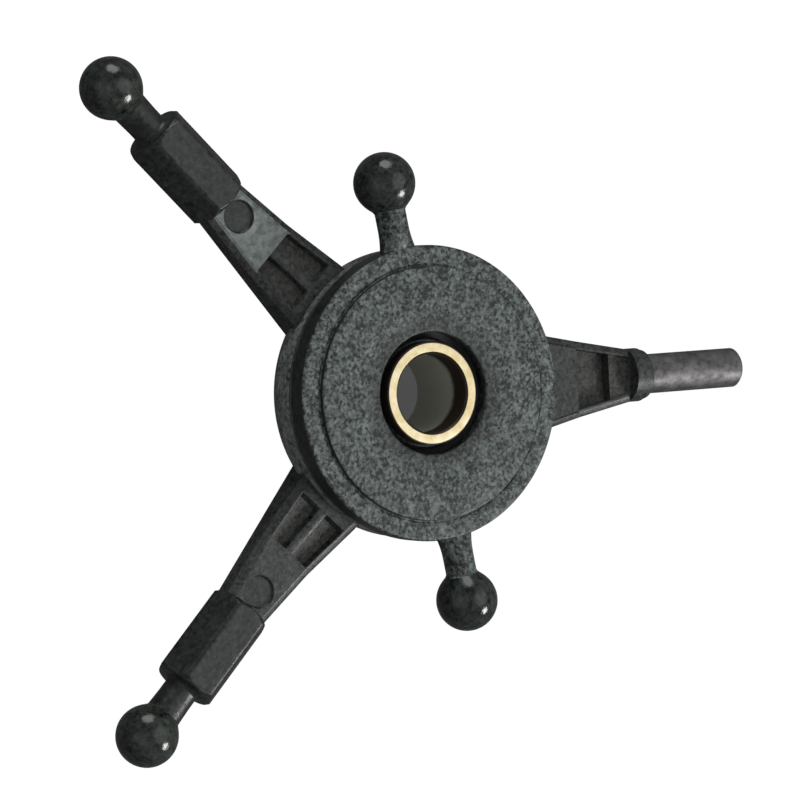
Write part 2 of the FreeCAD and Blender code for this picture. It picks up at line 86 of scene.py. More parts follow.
# Small moulded and turned rounds, in millimetres.
HAIR_ROUND = 0.02
FINE_ROUND = 0.03
CRISP_ROUND = 0.04
SMALL_ROUND = 0.05
SOFT_ROUND = 0.08
FULL_ROUND = 0.1

Point = tuple[float, float]
Span = tuple[float, float]
Corner = tuple[float, float, float]
Socket = bpy.types.NodeSocket
Tree = bpy.types.NodeTree
Material = bpy.types.Material
Piece = bpy.types.Object
Solid = bmesh.types.BMesh
FaceTest = Callable[[Vector, Vector], bool]


class Body(Enum):
    """Bodies of the CAD model that a piece can ride on."""

    SHAFT_BALL = "shaft_ball"
    STATIONARY = "stationary"
    ROTOR = "rotor"


class Slot(Enum):
    """Material slots of the CAD model's record."""

    MOULDING = "black_moulding"
    ACETAL = "black_acetal"
    STUD = "black_stud"
    BRASS = "brass_tube"
    BEARING = "bearing_steel"
    SPRING = "spring_steel"
    PIN = "ground_pin"
    NYLON = "natural_nylon"
    PTFE = "filled_ptfe"


# ---------------------------------------------------------------- colours and shader nodes


def srgb(code: str) -> tuple[float, float, float, float]:
    """Turn an sRGB hex colour into linear light.

    Args:
        code: Colour such as "#3c4240".

    Returns:
        Linear red, green and blue, and an alpha of one.
    """
    channels = [int(code[start : start + 2], 16) / 255 for start in (1, 3, 5)]
    linear = [c / 12.92 if c <= 0.04045 else ((c + 0.055) / 1.055) ** 2.4 for c in channels]
    return linear[0], linear[1], linear[2], 1.0


def per_metre(size_mm: float) -> float:
    """Give the texture scale whose features are this many millimetres across."""
    return 1 / (size_mm * MM)


def add_node(
    tree: Tree,
    kind: str,
    settings: dict[str | int, object] | None = None,
    links: dict[str | int, Socket] | None = None,
) -> bpy.types.Node:
    """Add a shader node with its settings and what feeds it.

    Args:
        tree: Node tree of the material.
        kind: Blender's name for the kind of node.
        settings: Values by property name, or by input name or number.
        links: Sockets that feed the node, by input name or number.

    Returns:
        The new node.
    """
    node = tree.nodes.new(kind)
    for key, value in (settings or {}).items():
        if isinstance(key, str) and key.islower() and hasattr(node, key):
            setattr(node, key, value)
        else:
            node.inputs[key].default_value = value
    for key, socket in (links or {}).items():
        tree.links.new(socket, node.inputs[key])
    return node


def new_material(name: str, values: dict[str, object]) -> Material:
    """Start a material with one principled shader.

    Args:
        name: Name of the finish.
        values: Constant values for the shader's own sockets.

    Returns:
        The material.
    """
    material = bpy.data.materials.new(name)
    material.use_nodes = True
    for key, value in values.items():
        material.node_tree.nodes["Principled BSDF"].inputs[key].default_value = value
    return material


def feed(material: Material, sockets: dict[str, Socket]) -> None:
    """Link node outputs to the material's shader.

    Args:
        material: Material that new_material started.
        sockets: What feeds each input, by the input's name.
    """
    tree = material.node_tree
    for key, socket in sockets.items():
        tree.links.new(socket, tree.nodes["Principled BSDF"].inputs[key])


def object_place(tree: Tree) -> Socket:
    """Give each point's place in the object's own frame."""
    return add_node(tree, "ShaderNodeTexCoord").outputs["Object"]


def noise(tree: Tree, where: Socket, size_mm: float, detail: float, roughness: float = 0.5) -> Socket:
    """Give soft noise.

    Args:
        tree: Node tree of the material.
        where: Place that the noise is drawn from.
        size_mm: Size of its features in millimetres.
        detail: Layers of finer noise.
        roughness: Weight of the finer layers.

    Returns:
        The noise, about 0.5 on average.
    """
    return add_node(
        tree, "ShaderNodeTexNoise", {"Scale": per_metre(size_mm), "Detail": detail, "Roughness": roughness},
        {"Vector": where}).outputs["Fac"]


def remap(
    tree: Tree, value: Socket, source: Span = (0.0, 1.0), target: Span = (0.0, 1.0), easing: str = "LINEAR",
) -> Socket:
    """Stretch a value from one span to another, and hold it there.

    Args:
        tree: Node tree of the material.
        value: Value to stretch.
        source: Span that it comes from.
        target: Span that it goes to.
        easing: Blender's name for how it runs between the ends.

    Returns:
        The stretched value.
    """
    return add_node(
        tree, "ShaderNodeMapRange",
        {"interpolation_type": easing, "From Min": source[0], "From Max": source[1], "To Min": target[0],
         "To Max": target[1]},
        {"Value": value}).outputs["Result"]


def mix_colours(tree: Tree, share: Socket, first: str, second: str) -> Socket:
    """Mix two sRGB hex colours, from the first at no share to the second at a full one."""
    return add_node(
        tree, "ShaderNodeMix", {"data_type": "RGBA", COLOUR_A: srgb(first), COLOUR_B: srgb(second)},
        {0: share}).outputs[COLOUR_OUT]


def add_scaled(tree: Tree, value: Socket, factor: float, base: Socket) -> Socket:
    """Give a value times a factor, added to a base."""
    node = add_node(tree, "ShaderNodeMath", {"operation": "MULTIPLY_ADD", 1: factor}, {0: value, 2: base})
    return node.outputs["Value"]


def bump(tree: Tree, height: Socket, strength: float, depth_mm: float) -> Socket:
    """Give the surface normal that a height makes, for relief of a depth in millimetres."""
    return add_node(
        tree, "ShaderNodeBump", {"Strength": strength, "Distance": depth_mm * MM},
        {"Height": height}).outputs["Normal"]


def level_distance(tree: Tree, where: Socket, centre: Point = (0.0, 0.0)) -> Socket:
    """Give the distance from an upright line, in metres.

    Args:
        tree: Node tree of the material.
        where: Place to measure from.
        centre: Where the line stands, in metres.

    Returns:
        The distance.
    """
    flat = add_node(
        tree, "ShaderNodeVectorMath",
        {"operation": "MULTIPLY_ADD", 1: (1.0, 1.0, 0.0), 2: (-centre[0], -centre[1], 0.0)}, {0: where})
    return add_node(
        tree, "ShaderNodeVectorMath", {"operation": "LENGTH"}, {0: flat.outputs["Vector"]}).outputs["Value"]


# ---------------------------------------------------------------- finishes


@dataclass(frozen=True)
class MouldedAcetal:
    """Black acetal, injection moulded in a spark-eroded mould.

    The fine pitted grain breaks the sheen into specks of grey, and slow patches of a little more or
    less gloss show where the melt froze first. It is drawn coarser than the real grit so that it shows.
    """

    name: str
    valley: str
    crest: str
    grain_mm: float
    grain_depth_mm: float
    gloss: Span
    patch_mm: float = 1.3
    patch_spread: Span = (0.3, 0.7)
    # The three fields below darken the colour near the shaft, as painted shade round the socket's mouth.
    mouth_shade_radius_mm: float = 0.0
    mouth_shade_fade: Span = (0.85, 1.25)
    mouth_shade_share: float = 0.62
    speck_start: float = 0.64
    speck_span: float = 0.48
    blotch_times: float = 3.1
    blotch_weight: float = 0.4
    pit_times: float = 0.8
    pit_weight: float = 0.36
    pit_depth_share: float = 0.45

    def oil(self, tree: Tree, where: Socket) -> Socket:
        """Give how much painted shade each place gets round the socket's mouth, fading out with distance from
        the shaft.
        """
        near, far = (share * self.mouth_shade_radius_mm * MM for share in self.mouth_shade_fade)
        return remap(tree, level_distance(tree, where), (near, far), (self.mouth_shade_share, 0.0), "SMOOTHSTEP")

    def build(self) -> Material:
        """Make the material.

        Returns:
            The material.
        """
        material = new_material(self.name, {"IOR": 1.48})
        tree = material.node_tree
        where = object_place(tree)
        grain = noise(tree, where, self.grain_mm, detail=4.0, roughness=0.7)
        blotch = noise(tree, where, self.grain_mm * self.blotch_times, detail=2.0, roughness=0.6)
        pits = add_node(
            tree, "ShaderNodeTexVoronoi",
            {"Scale": per_metre(self.grain_mm * self.pit_times), "Randomness": 1.0}, {"Vector": where})
        glints = add_scaled(tree, pits.outputs["Color"], self.pit_weight, grain)
        both = add_scaled(tree, blotch, self.blotch_weight, glints)
        speck = remap(tree, both, (self.speck_start, self.speck_start + self.speck_span))
        colour = mix_colours(tree, speck, self.valley, self.crest)
        # Painted shade: near the shaft the colour runs towards the valley colour.
        if self.mouth_shade_radius_mm:
            colour = add_node(
                tree, "ShaderNodeMix", {"data_type": "RGBA", COLOUR_B: srgb(self.valley)},
                {0: self.oil(tree, where), COLOUR_A: colour}).outputs[COLOUR_OUT]
        patch = noise(tree, where, self.patch_mm, detail=2.0)
        relief = add_scaled(tree, pits.outputs["Distance"], self.pit_depth_share, grain)
        feed(material, {
            "Base Color": colour,
            "Roughness": remap(tree, patch, self.patch_spread, self.gloss),
            "Normal": bump(tree, relief, strength=1.0, depth_mm=self.grain_depth_mm)})
        return material


@dataclass(frozen=True)
class DrawnBrass:
    """Brass tube, drawn, then parted off in a lathe: a faint turned ring on the cut end, and a satin gleam.

    Blender's ring wave runs through wave_radians in each unit of its scale, so that one radian of it is
    as wide as radian_mm.
    """

    name: str = "brass tube, parted off and deburred"
    bright: str = "#f3e6c2"
    dull: str = "#dac791"
    tarnish_mm: float = 0.5
    tarnish_spread: Span = (0.35, 0.7)
    gloss: Span = (0.38, 0.55)
    radian_mm: float = 0.09
    wave_radians: float = 20.0
    tool_mark_depth_mm: float = 0.004

    def build(self) -> Material:
        """Make the material.

        Returns:
            The material.
        """
        material = new_material(self.name, {"Metallic": 1.0})
        tree = material.node_tree
        where = object_place(tree)
        rings = add_node(
            tree, "ShaderNodeTexWave",
            {"wave_type": "RINGS", "rings_direction": "Z", "Distortion": 1.2, "Detail": 2.0,
             "Scale": per_metre(self.radian_mm) / self.wave_radians},
            {"Vector": where})
        tarnish = noise(tree, where, self.tarnish_mm, detail=4.0, roughness=0.6)
        worn = remap(tree, tarnish, self.tarnish_spread)
        feed(material, {
            "Base Color": mix_colours(tree, worn, self.bright, self.dull),
            "Roughness": remap(tree, tarnish, target=self.gloss),
            "Normal": bump(tree, rings.outputs["Fac"], strength=0.35, depth_mm=self.tool_mark_depth_mm)})
        return material


@dataclass(frozen=True)
class ShadedBoreBrass:
    """Brass in the bore, dark brown near the mouth as painted shade and light grey lower down as painted
    light, with an uneven edge between.
    """

    # Dark brown near the mouth is painted shade; the light grey below is painted light.
    name: str = "drawn brass tube, under dried oil"
    mouth: str = "#2c2012"
    film: str = "#c2c2b8"
    mouth_low_mm: float = 0.75
    mouth_high_mm: float = 1.15
    wobble_mm: float = 0.6
    wobble_run_mm: float = 0.35
    wobble_middle_mm: float = 0.17
    gloss: Span = (0.4, 0.6)

    def build(self) -> Material:
        """Make the material.

        Returns:
            The material.
        """
        material = new_material(self.name, {"Metallic": 0.3})
        tree = material.node_tree
        where = object_place(tree)
        height = add_node(tree, "ShaderNodeSeparateXYZ", None, {"Vector": where}).outputs["Z"]
        wobble = noise(tree, where, self.wobble_mm, detail=4.0, roughness=0.6)
        edge = add_scaled(tree, wobble, self.wobble_run_mm * MM, height)
        low, high = ((place + self.wobble_middle_mm) * MM for place in (self.mouth_low_mm, self.mouth_high_mm))
        # Painted shade above the edge, near the mouth; painted light below it.
        in_shade = remap(tree, edge, (low, high), easing="SMOOTHSTEP")
        feed(material, {
            "Base Color": mix_colours(tree, in_shade, self.film, self.mouth),
            "Roughness": remap(tree, wobble, target=self.gloss)})
        return material


@dataclass(frozen=True)
class GroundSteel:
    """Steel, ground: grinding lines run round the part, and a thin film of oil dulls it in patches."""

    name: str
    light: str
    dark: str
    gloss: Span
    line_mm: float
    stretch: tuple[float, float, float]
    film_mm: float = 0.45
    film_spread: Span = (0.35, 0.68)
    line_depth_mm: float = 0.004

    def build(self) -> Material:
        """Make the material.

        Returns:
            The material.
        """
        material = new_material(self.name, {"Metallic": 1.0})
        tree = material.node_tree
        where = object_place(tree)
        along = add_node(tree, "ShaderNodeMapping", {"Scale": self.stretch}, {"Vector": where})
        lines = noise(tree, along.outputs["Vector"], self.line_mm, detail=3.0, roughness=0.7)
        film = noise(tree, where, self.film_mm, detail=3.0, roughness=0.65)
        dulled = remap(tree, film, self.film_spread)
        feed(material, {
            "Base Color": mix_colours(tree, dulled, self.light, self.dark),
            "Roughness": remap(tree, film, target=self.gloss),
            "Normal": bump(tree, lines, strength=0.5, depth_mm=self.line_depth_mm)})
        return material


@dataclass(frozen=True)
class NaturalNylon:
    """Nylon in its natural cream, moulded: milky, with light going a little way in."""

    name: str = "natural nylon, moulded"
    colour: str = "#d9d3c0"
    depth_mm: tuple[float, float, float] = (0.3, 0.28, 0.22)
    haze_mm: float = 0.3
    haze_depth_mm: float = 0.004
    gloss: Span = (0.3, 0.5)

    def build(self) -> Material:
        """Make the material.

        Returns:
            The material.
        """
        material = new_material(self.name, {
            "Base Color": srgb(self.colour), "IOR": 1.53, "Subsurface Weight": 0.25,
            "Subsurface Radius": tuple(depth * MM for depth in self.depth_mm), "Subsurface Scale": 1.0})
        tree = material.node_tree
        haze = noise(tree, object_place(tree), self.haze_mm, detail=3.0)
        feed(material, {
            "Roughness": remap(tree, haze, target=self.gloss),
            "Normal": bump(tree, haze, strength=0.4, depth_mm=self.haze_depth_mm)})
        return material


@dataclass(frozen=True)
class Finishes:
    """Every finish of the object, made once."""

    plate: Material
    side: Material
    ring: Material
    band: Material
    pocket: Material
    land: Material
    stud: Material
    ball: Material
    cut_brass: Material
    oiled_brass: Material
    blackened_brass: Material
    pin: Material
    bearing: Material
    spring: Material
    nylon: Material
    liner: Material

    @classmethod
    def make(cls) -> Finishes:
        """Build all the materials."""
        return cls(
            # The plate's colour is darkened near the shaft as painted shade round the socket's mouth.
            plate=MouldedAcetal(
                "black acetal, spark-eroded grain", "#0f1412", "#84908b", grain_mm=0.14, grain_depth_mm=0.02,
                gloss=(0.4, 0.55), mouth_shade_radius_mm=2.7, speck_start=0.75).build(),
            # side: a copy of the acetal with finer grain and a darker colour; the darker colour is painted
            # shade, on the plate's faces that do not face up and in the dimples.
            side=MouldedAcetal(
                "black acetal, smooth rim", "#0b0e0d", "#343a37", grain_mm=0.15, grain_depth_mm=0.01,
                gloss=(0.36, 0.48)).build(),
            # band: a lighter copy of the acetal for the ring's outer wall; the lighter colour is painted
            # light.
            band=MouldedAcetal(
                "black acetal, rubbed outer band", "#343a37", "#8f9591", grain_mm=0.18, grain_depth_mm=0.016,
                gloss=(0.36, 0.5)).build(),
            ring=MouldedAcetal(
                "black acetal, lightly grained", "#0b0e0d", "#484d4a", grain_mm=0.17, grain_depth_mm=0.014,
                gloss=(0.36, 0.5)).build(),
            pocket=MouldedAcetal(
                "black acetal, rough pocket floor", "#0e0f0e", "#50524c", grain_mm=0.14, grain_depth_mm=0.018,
                gloss=(0.5, 0.66)).build(),
            # land: a much lighter, glossier copy of the acetal for the top of the servo arm on the +Y side
            # only; its light colour is a painted sheen.
            land=MouldedAcetal(
                "black acetal, polished land", "#4d5553", "#868f8d", grain_mm=0.3, grain_depth_mm=0.004,
                gloss=(0.26, 0.36)).build(),
            stud=MouldedAcetal(
                "black acetal, smooth moulded stud", "#050706", "#343936", grain_mm=0.2, grain_depth_mm=0.012,
                gloss=(0.3, 0.42)).build(),
            ball=MouldedAcetal(
                "black acetal, polished ball", "#0a0d0b", "#3c433e", grain_mm=0.2, grain_depth_mm=0.008,
                gloss=(0.09, 0.22)).build(),
            cut_brass=DrawnBrass().build(),
            # The bore of the tube: painted shade near its mouth and painted light lower down.
            oiled_brass=ShadedBoreBrass().build(),
            # The tube's outer side, in the gap round it: its near-black colour is painted shade.
            blackened_brass=MouldedAcetal(
                "drawn brass tube, under black graphite grease", "#0d0a07", "#2a221a", grain_mm=0.3,
                grain_depth_mm=0.004, gloss=(0.4, 0.6)).build(),
            pin=GroundSteel(
                "grey steel pin, centreless ground", "#848283", "#575657", gloss=(0.52, 0.68), line_mm=0.05,
                stretch=(6.0, 1.0, 1.0)).build(),
            bearing=GroundSteel(
                "bearing steel, ground and lapped", "#b9bcbf", "#94979b", gloss=(0.12, 0.24), line_mm=0.04,
                stretch=(1.0, 1.0, 6.0)).build(),
            spring=GroundSteel(
                "spring steel, stamped and oiled", "#77777a", "#505054", gloss=(0.3, 0.45), line_mm=0.08,
                stretch=(1.0, 1.0, 3.0)).build(),
            nylon=NaturalNylon().build(),
            liner=MouldedAcetal(
                "graphite-filled PTFE, turned", "#0b0b0c", "#1d1d1f", grain_mm=0.15, grain_depth_mm=0.004,
                gloss=(0.35, 0.5)).build(),
        )


# ---------------------------------------------------------------- mesh tools


def rounded(corners: Sequence[Corner], steps: int = 5) -> list[Point]:
    """Round the corners of a closed outline.

    Args:
        corners: (across, along, radius) of each corner in millimetres; a radius of zero stays sharp.
        steps: Spans in each rounded corner.

    Returns:
        Points of the outline in the same order.
    """
    points: list[Point] = []
    for index, (x, y, radius) in enumerate(corners):
        before = Vector(corners[index - 1][:2])
        after = Vector(corners[(index + 1) % len(corners)][:2])
        here = Vector((x, y))
        to_before = (before - here).normalized()
        to_after = (after - here).normalized()
        opening = to_before.angle(to_after, math.pi)
        if radius == 0 or opening > NEARLY_STRAIGHT:
            points.append((x, y))
            continue
        longest = LONGEST_ROUND_SHARE * min((before - here).length, (after - here).length)
        reach = min(radius / math.tan(opening / 2), longest)
        arc_radius = reach * math.tan(opening / 2)
        centre = here + (to_before + to_after).normalized() * (arc_radius / math.sin(opening / 2))
        start = here + to_before * reach - centre
        end = here + to_after * reach - centre
        sweep = start.angle_signed(end)
        for step in range(steps + 1):
            spoke = start.copy()
            spoke.rotate(Matrix.Rotation(-sweep * step / steps, 2))
            points.append((centre.x + spoke.x, centre.y + spoke.y))
    return points


def skin(rings: Sequence[Sequence[Vector]], joined: bool = False) -> Solid:
    """Cover a row of rings of equal count with quads, and close both ends.

    Args:
        rings: Closed rings of points in metres. A ring of one point is a tip.
        joined: True if the last ring meets the first, as on a doughnut.

    Returns:
        The closed mesh.
    """
    mesh = bmesh.new()
    rows = [[mesh.verts.new(point) for point in ring] for ring in rings]
    pairs = list(zip(rows, rows[1:]))
    if joined:
        pairs.append((rows[-1], rows[0]))
    for near, far in pairs:
        count = max(len(near), len(far))
        for index in range(count):
            after = (index + 1) % count
            if len(near) == 1:
                mesh.faces.new((near[0], far[after], far[index]))
            elif len(far) == 1:
                mesh.faces.new((near[index], near[after], far[0]))
            else:
                mesh.faces.new((near[index], near[after], far[after], far[index]))
    if not joined:
        for row in (rows[0], rows[-1]):
            if len(row) > 1:
                mesh.faces.new(row)
    bmesh.ops.remove_doubles(mesh, verts=mesh.verts, dist=SNAP)
    bmesh.ops.dissolve_degenerate(mesh, dist=SNAP, edges=mesh.edges)
    bmesh.ops.recalc_face_normals(mesh, faces=mesh.faces)
    return mesh


def lathe(outline: Sequence[Point], segments: int = LATHE_SEGMENTS) -> Solid:
    """Turn an outline about the Z axis.

    Args:
        outline: (radius, height) points in millimetres. It either runs from axis to axis, or is a closed
            loop clear of the axis.
        segments: Flats round the turn.

    Returns:
        The closed mesh, in metres.
    """
    rings: list[list[Vector]] = []
    for radius, height in outline:
        if radius < ON_AXIS_MM:
            rings.append([Vector((0, 0, height * MM))])
            continue
        ring = []
        for index in range(segments):
            angle = 2 * math.pi * index / segments
            ring.append(Vector((radius * math.cos(angle), radius * math.sin(angle), height)) * MM)
        rings.append(ring)
    return skin(rings, joined=len(rings[0]) > 1)


def ring_across(x: float, z: float, segments: int, half_sizes: Callable[[float], Point]) -> list[Vector]:
    """Lay a closed ring of points across the X axis.

    Args:
        x: Distance from the shaft in millimetres.
        z: Height of the ring's middle in millimetres.
        segments: Points in the ring.
        half_sizes: Gives half the width and half the height at an angle round the ring.

    Returns:
        The points in metres.
    """
    ring = []
    for index in range(segments):
        angle = 2 * math.pi * index / segments
        across, up = half_sizes(angle)
        ring.append(Vector((x, across * math.cos(angle), z + up * math.sin(angle))) * MM)
    return ring


def stand_along_x(mesh: Solid, height_mm: float) -> Solid:
    """Lay a turned mesh on its side, so that its axis runs along +X at a height.

    Args:
        mesh: Mesh turned about the Z axis.
        height_mm: Height of the axis in millimetres.

    Returns:
        The same mesh.
    """
    turn = Matrix.Translation((0, 0, height_mm * MM)) @ Matrix.Rotation(math.pi / 2, 4, "Y")
    bmesh.ops.transform(mesh, matrix=turn, verts=mesh.verts)
    return mesh


def turn_to(mesh: Solid, axis: Vector) -> Solid:
    """Turn a mesh built along +X about the main shaft, until it points along an axis."""
    bmesh.ops.rotate(mesh, matrix=Matrix.Rotation(math.atan2(axis.y, axis.x), 3, "Z"), verts=mesh.verts)
    return mesh


def make_object(name: str, mesh: Solid) -> Piece:
    """Put a mesh in the scene as an object at the origin.

    Args:
        name: Name of the object and of its mesh.
        mesh: Mesh in metres, which is used up.

    Returns:
        The object.
    """
    data = bpy.data.meshes.new(name)
    mesh.to_mesh(data)
    mesh.free()
    piece = bpy.data.objects.new(name, data)
    bpy.context.scene.collection.objects.link(piece)
    return piece


def combine(base: Piece, tools: Sequence[Piece], operation: str) -> None:
    """Join solids to a base, or cut them from it, and keep only the result.

    Args:
        base: Object whose mesh changes.
        tools: Objects that are used up.
        operation: "UNION" or "DIFFERENCE".
    """
    for tool in tools:
        step = base.modifiers.new("solid", "BOOLEAN")
        step.operation = operation
        step.solver = "MANIFOLD"
        step.object = tool
        bpy.context.view_layer.update()
        result = bpy.data.meshes.new_from_object(base.evaluated_get(bpy.context.evaluated_depsgraph_get()))
        base.modifiers.clear()
        old = base.data
        base.data = result
        result.name = old.name
        bpy.data.meshes.remove(old)
        bpy.data.objects.remove(tool)


def finish_piece(
    piece: Piece,
    body: Body,
    materials: Sequence[Material],
    nodes: Sequence[str],
) -> None:
    """Shade a piece, dress it and tie it to its body.

    Args:
        piece: Object in place in the CAD's frame.
        body: CAD body that it rides on.
        materials: Materials, in the order of the mesh's material numbers.
        nodes: CAD nodes that it stands for.
    """
    numbers = [face.material_index for face in piece.data.polygons]
    piece.data.materials.clear()
    for material in materials:
        piece.data.materials.append(material)
    for face, number in zip(piece.data.polygons, numbers):
        face.material_index = min(number, len(materials) - 1)
    piece.data.shade_smooth()
    piece.data.set_sharp_from_angle(angle=SMOOTH_LIMIT)
    level = piece.modifiers.new("flat faces stay flat", "WEIGHTED_NORMAL")
    level.keep_sharp = True
    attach(piece, body.value)
    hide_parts(*nodes)
    LOG.info("%s: %d faces, rides on %s", piece.name, len(piece.data.polygons), body.value)


def paint_faces(piece: Piece, number: int, chosen: FaceTest) -> None:
    """Give a material number to the faces that a test picks.

    Args:
        piece: Object to paint.
        number: Material number.
        chosen: Test of a face's centre and normal, both in metres.
    """
    for face in piece.data.polygons:
        if chosen(face.center, face.normal):
            face.material_index = number


def reach_of(place: Vector) -> float:
    """Give a place's distance from the shaft's axis."""
    return math.hypot(place.x, place.y)


def farther_than(reach_mm: float) -> FaceTest:
    """Give the test for faces that lie farther than this from the shaft's axis."""
    return lambda centre, normal: reach_of(centre) > reach_mm * MM


# ---------------------------------------------------------------- what the CAD model says


def mount_record(name: str) -> dict:
    """Give a mount's entry in the CAD model's record."""
    return next(mount for mount in frame["record"]["mounts"] if mount["name"] == name)


def mount_place(name: str) -> tuple[Vector, Vector]:
    """Give a mount's place in millimetres and its axis."""
    mount = mount_record(name)
    return Vector(mount["pos_m"]) / MM, Vector(mount["axis"])


def mount_size(name: str, size: str) -> float:
    """Give one of a mount's stated sizes in millimetres, such as its r_mm or length_mm."""
    return mount_record(name)["dims"][size]


def node_top(node: str) -> float:
    """Give a node's highest point in millimetres."""
    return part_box(node)[1].z / MM


def node_bottom(node: str) -> float:
    """Give a node's lowest point in millimetres."""
    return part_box(node)[0].z / MM


def node_reach(node: str) -> float:
    """Give how far a node reaches along +X, in millimetres."""
    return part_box(node)[1].x / MM


# ---------------------------------------------------------------- link balls


@dataclass
class LinkBall:
    """Ball on a neck, for a snap-on ball link, built along +X."""

    centre_x: float
    neck_radius: float
    ball_radius: float = 1.194
    fillet_power: int = 8
    station_count: int = 34
    neck_side_degrees: float = 150
    polish_reach: float = 1.05
    segments: int = 72

    def half_size(self, x: float, neck: float) -> float:
        """Give the radius at a place along the neck and ball, with a small fillet between them.

        Args:
            x: Distance from the shaft in millimetres.
            neck: Radius of the bare neck at that place.

        Returns:
            Radius in millimetres.
        """
        offset = x - self.centre_x
        ball = math.sqrt(max(self.ball_radius**2 - offset**2, 0.0))
        if offset >= 0:
            return ball
        power = self.fillet_power
        return (neck**power + ball**power) ** (1 / power) if ball > 0 else neck

    def stations(self) -> list[float]:
        """Give places along the ball, close together near its neck and its tip."""
        start = math.radians(self.neck_side_degrees)
        return [
            self.centre_x + self.ball_radius * math.cos(start * (1 - step / self.station_count))
            for step in range(self.station_count)
        ]

    def tip(self, z: float) -> list[Vector]:
        """Give the ball's outermost point as a ring of one, at a height in millimetres."""
        return [Vector((self.centre_x + self.ball_radius, 0, z)) * MM]

    def is_polished(self) -> FaceTest:
        """Give the test for the polished faces of the ball."""
        return farther_than(self.centre_x - self.polish_reach)


# ---------------------------------------------------------------- rotating plate


@dataclass
class RotatingPlate:
    """Stepped disc with a spherical socket, a bearing neck and two link balls."""

    plate_thickness: float = 0.9
    plateau_step: float = 0.16
    plateau_radius: float = 4.9
    plateau_round: float = 0.13
    step_groove_depth: float = 0.025
    step_groove_floor: float = 0.06
    step_groove_width: float = 0.11
    mouth_radius: float = 2.357
    mouth_chamfer: float = 0.1
    socket_radius: float = 2.82
    socket_steps: int = 14
    plug_radius: float = 3.15
    neck_radius: float = 3.5
    shoulder_radius: float = 3.88
    race_top: float = 0.45
    groove_depth: float = 0.28
    groove_rim: float = 0.45
    link_neck_radius: float = 0.6
    link_neck_steps: int = 22
    link_root_depth: float = 0.35
    link_root_half_width: float = 0.75
    link_root_half_height: float = 0.42
    link_flare: float = 0.85
    edge_round: float = 0.12
    side_from_cap: float = 0.5
    side_to_ball: float = 2.2
    side_slope: float = 0.5

    def socket(self) -> list[Corner]:
        """Give the outline of the spherical socket, from its middle up to the mouth.

        Returns:
            Sharp corners of the outline, in millimetres.
        """
        mouth_z = math.sqrt(self.socket_radius**2 - self.mouth_radius**2)
        end = math.asin(mouth_z / self.socket_radius)
        angles = [end * step / self.socket_steps for step in range(self.socket_steps + 1)]
        return [(self.socket_radius * math.cos(angle), self.socket_radius * math.sin(angle), 0.0)
                for angle in angles]

    def disc(self) -> Solid:
        """Turn the disc with its socket and neck.

        Returns:
            The closed mesh, in metres.
        """
        radius = node_reach("rotor_plate")
        ball_z = mount_place("rotor_ball_a")[0].z
        top = ball_z + self.plate_thickness / 2
        bottom = ball_z - self.plate_thickness / 2
        plateau = top + self.plateau_step
        race_bottom = node_bottom("bearing_inner_race")
        groove_out = radius - self.groove_rim
        groove_in = self.shoulder_radius + self.groove_rim
        groove_top = bottom + self.groove_depth
        corners: list[Corner] = [
            (self.mouth_radius, plateau, self.mouth_chamfer),
            (self.plateau_radius, plateau, self.plateau_round),
            (self.plateau_radius, top - self.step_groove_depth, FINE_ROUND),
            (self.plateau_radius + self.step_groove_floor, top - self.step_groove_depth, FINE_ROUND),
            (self.plateau_radius + self.step_groove_width, top, SMALL_ROUND),
            (radius, top, self.edge_round),
            (radius, bottom, self.edge_round),
            (groove_out, bottom, SMALL_ROUND),
            (groove_out, groove_top, SOFT_ROUND),
            (groove_in, groove_top, SOFT_ROUND),
            (groove_in, bottom, SMALL_ROUND),
            (self.shoulder_radius, bottom, SOFT_ROUND),
            (self.shoulder_radius, self.race_top, CRISP_ROUND),
            (self.neck_radius, self.race_top, 0.0),
            (self.neck_radius, race_bottom, SMALL_ROUND),
            (self.plug_radius, race_bottom, CRISP_ROUND),
            (self.plug_radius, 0.0, 0.0),
        ]
        return lathe(rounded(corners + self.socket()))

    def link_ball(self) -> LinkBall:
        """Describe one of the plate's link balls."""
        return LinkBall(reach_of(mount_place("rotor_ball_a")[0]), self.link_neck_radius)

    def link(self) -> Solid:
        """Build one neck with its ball along +X, flared where it leaves the disc.

        Returns:
            The closed mesh, in metres.
        """
        plate_radius = node_reach("rotor_plate")
        height_z = mount_place("rotor_ball_a")[0].z
        shape = self.link_ball()
        root = plate_radius - self.link_root_depth
        run = shape.stations()[0] - root
        necks = [root + run * step / self.link_neck_steps for step in range(self.link_neck_steps)]
        rings: list[list[Vector]] = []
        for x in necks + shape.stations():
            flare = (1 - min(max((x - plate_radius) / self.link_flare, 0.0), 1.0)) ** 2
            width, height = (
                self.link_neck_radius + (root_size - self.link_neck_radius) * flare
                for root_size in (self.link_root_half_width, self.link_root_half_height))
            half_sizes = (shape.half_size(x, width), shape.half_size(x, height))
            rings.append(ring_across(x, height_z, shape.segments, lambda angle, sizes=half_sizes: sizes))
        return skin(rings + [shape.tip(height_z)])

    def build(self, finishes: Finishes) -> None:
        """Build and dress the plate.

        Args:
            finishes: Finishes of the object.
        """
        piece = make_object("rotating_plate", self.disc())
        links = [make_object(name, turn_to(self.link(), mount_place(name)[1]))
                 for name in ("rotor_ball_a", "rotor_ball_b")]
        combine(piece, links, "UNION")
        shape = self.link_ball()
        side_start = (node_reach("socket_cap") + self.side_from_cap) * MM
        side_end = (shape.centre_x - self.side_to_ball) * MM
        paint_faces(piece, 1, shape.is_polished())
        # Number 2, the darker side finish, is painted shade on the plate's faces that do not face up.
        paint_faces(
            piece, 2,
            lambda centre, normal: normal.z < self.side_slope and side_start < reach_of(centre) < side_end)
        finish_piece(
            piece, Body.ROTOR, [finishes.plate, finishes.ball, finishes.side], ["rotor_plate"])


# ---------------------------------------------------------------- stationary ring


@dataclass(frozen=True)
class Pocket:
    """Pocket in the top of an arm; a rib may be left standing along its middle."""

    start: float
    end: float
    depth: float
    rim: float
    rib_half_width: float = 0.0


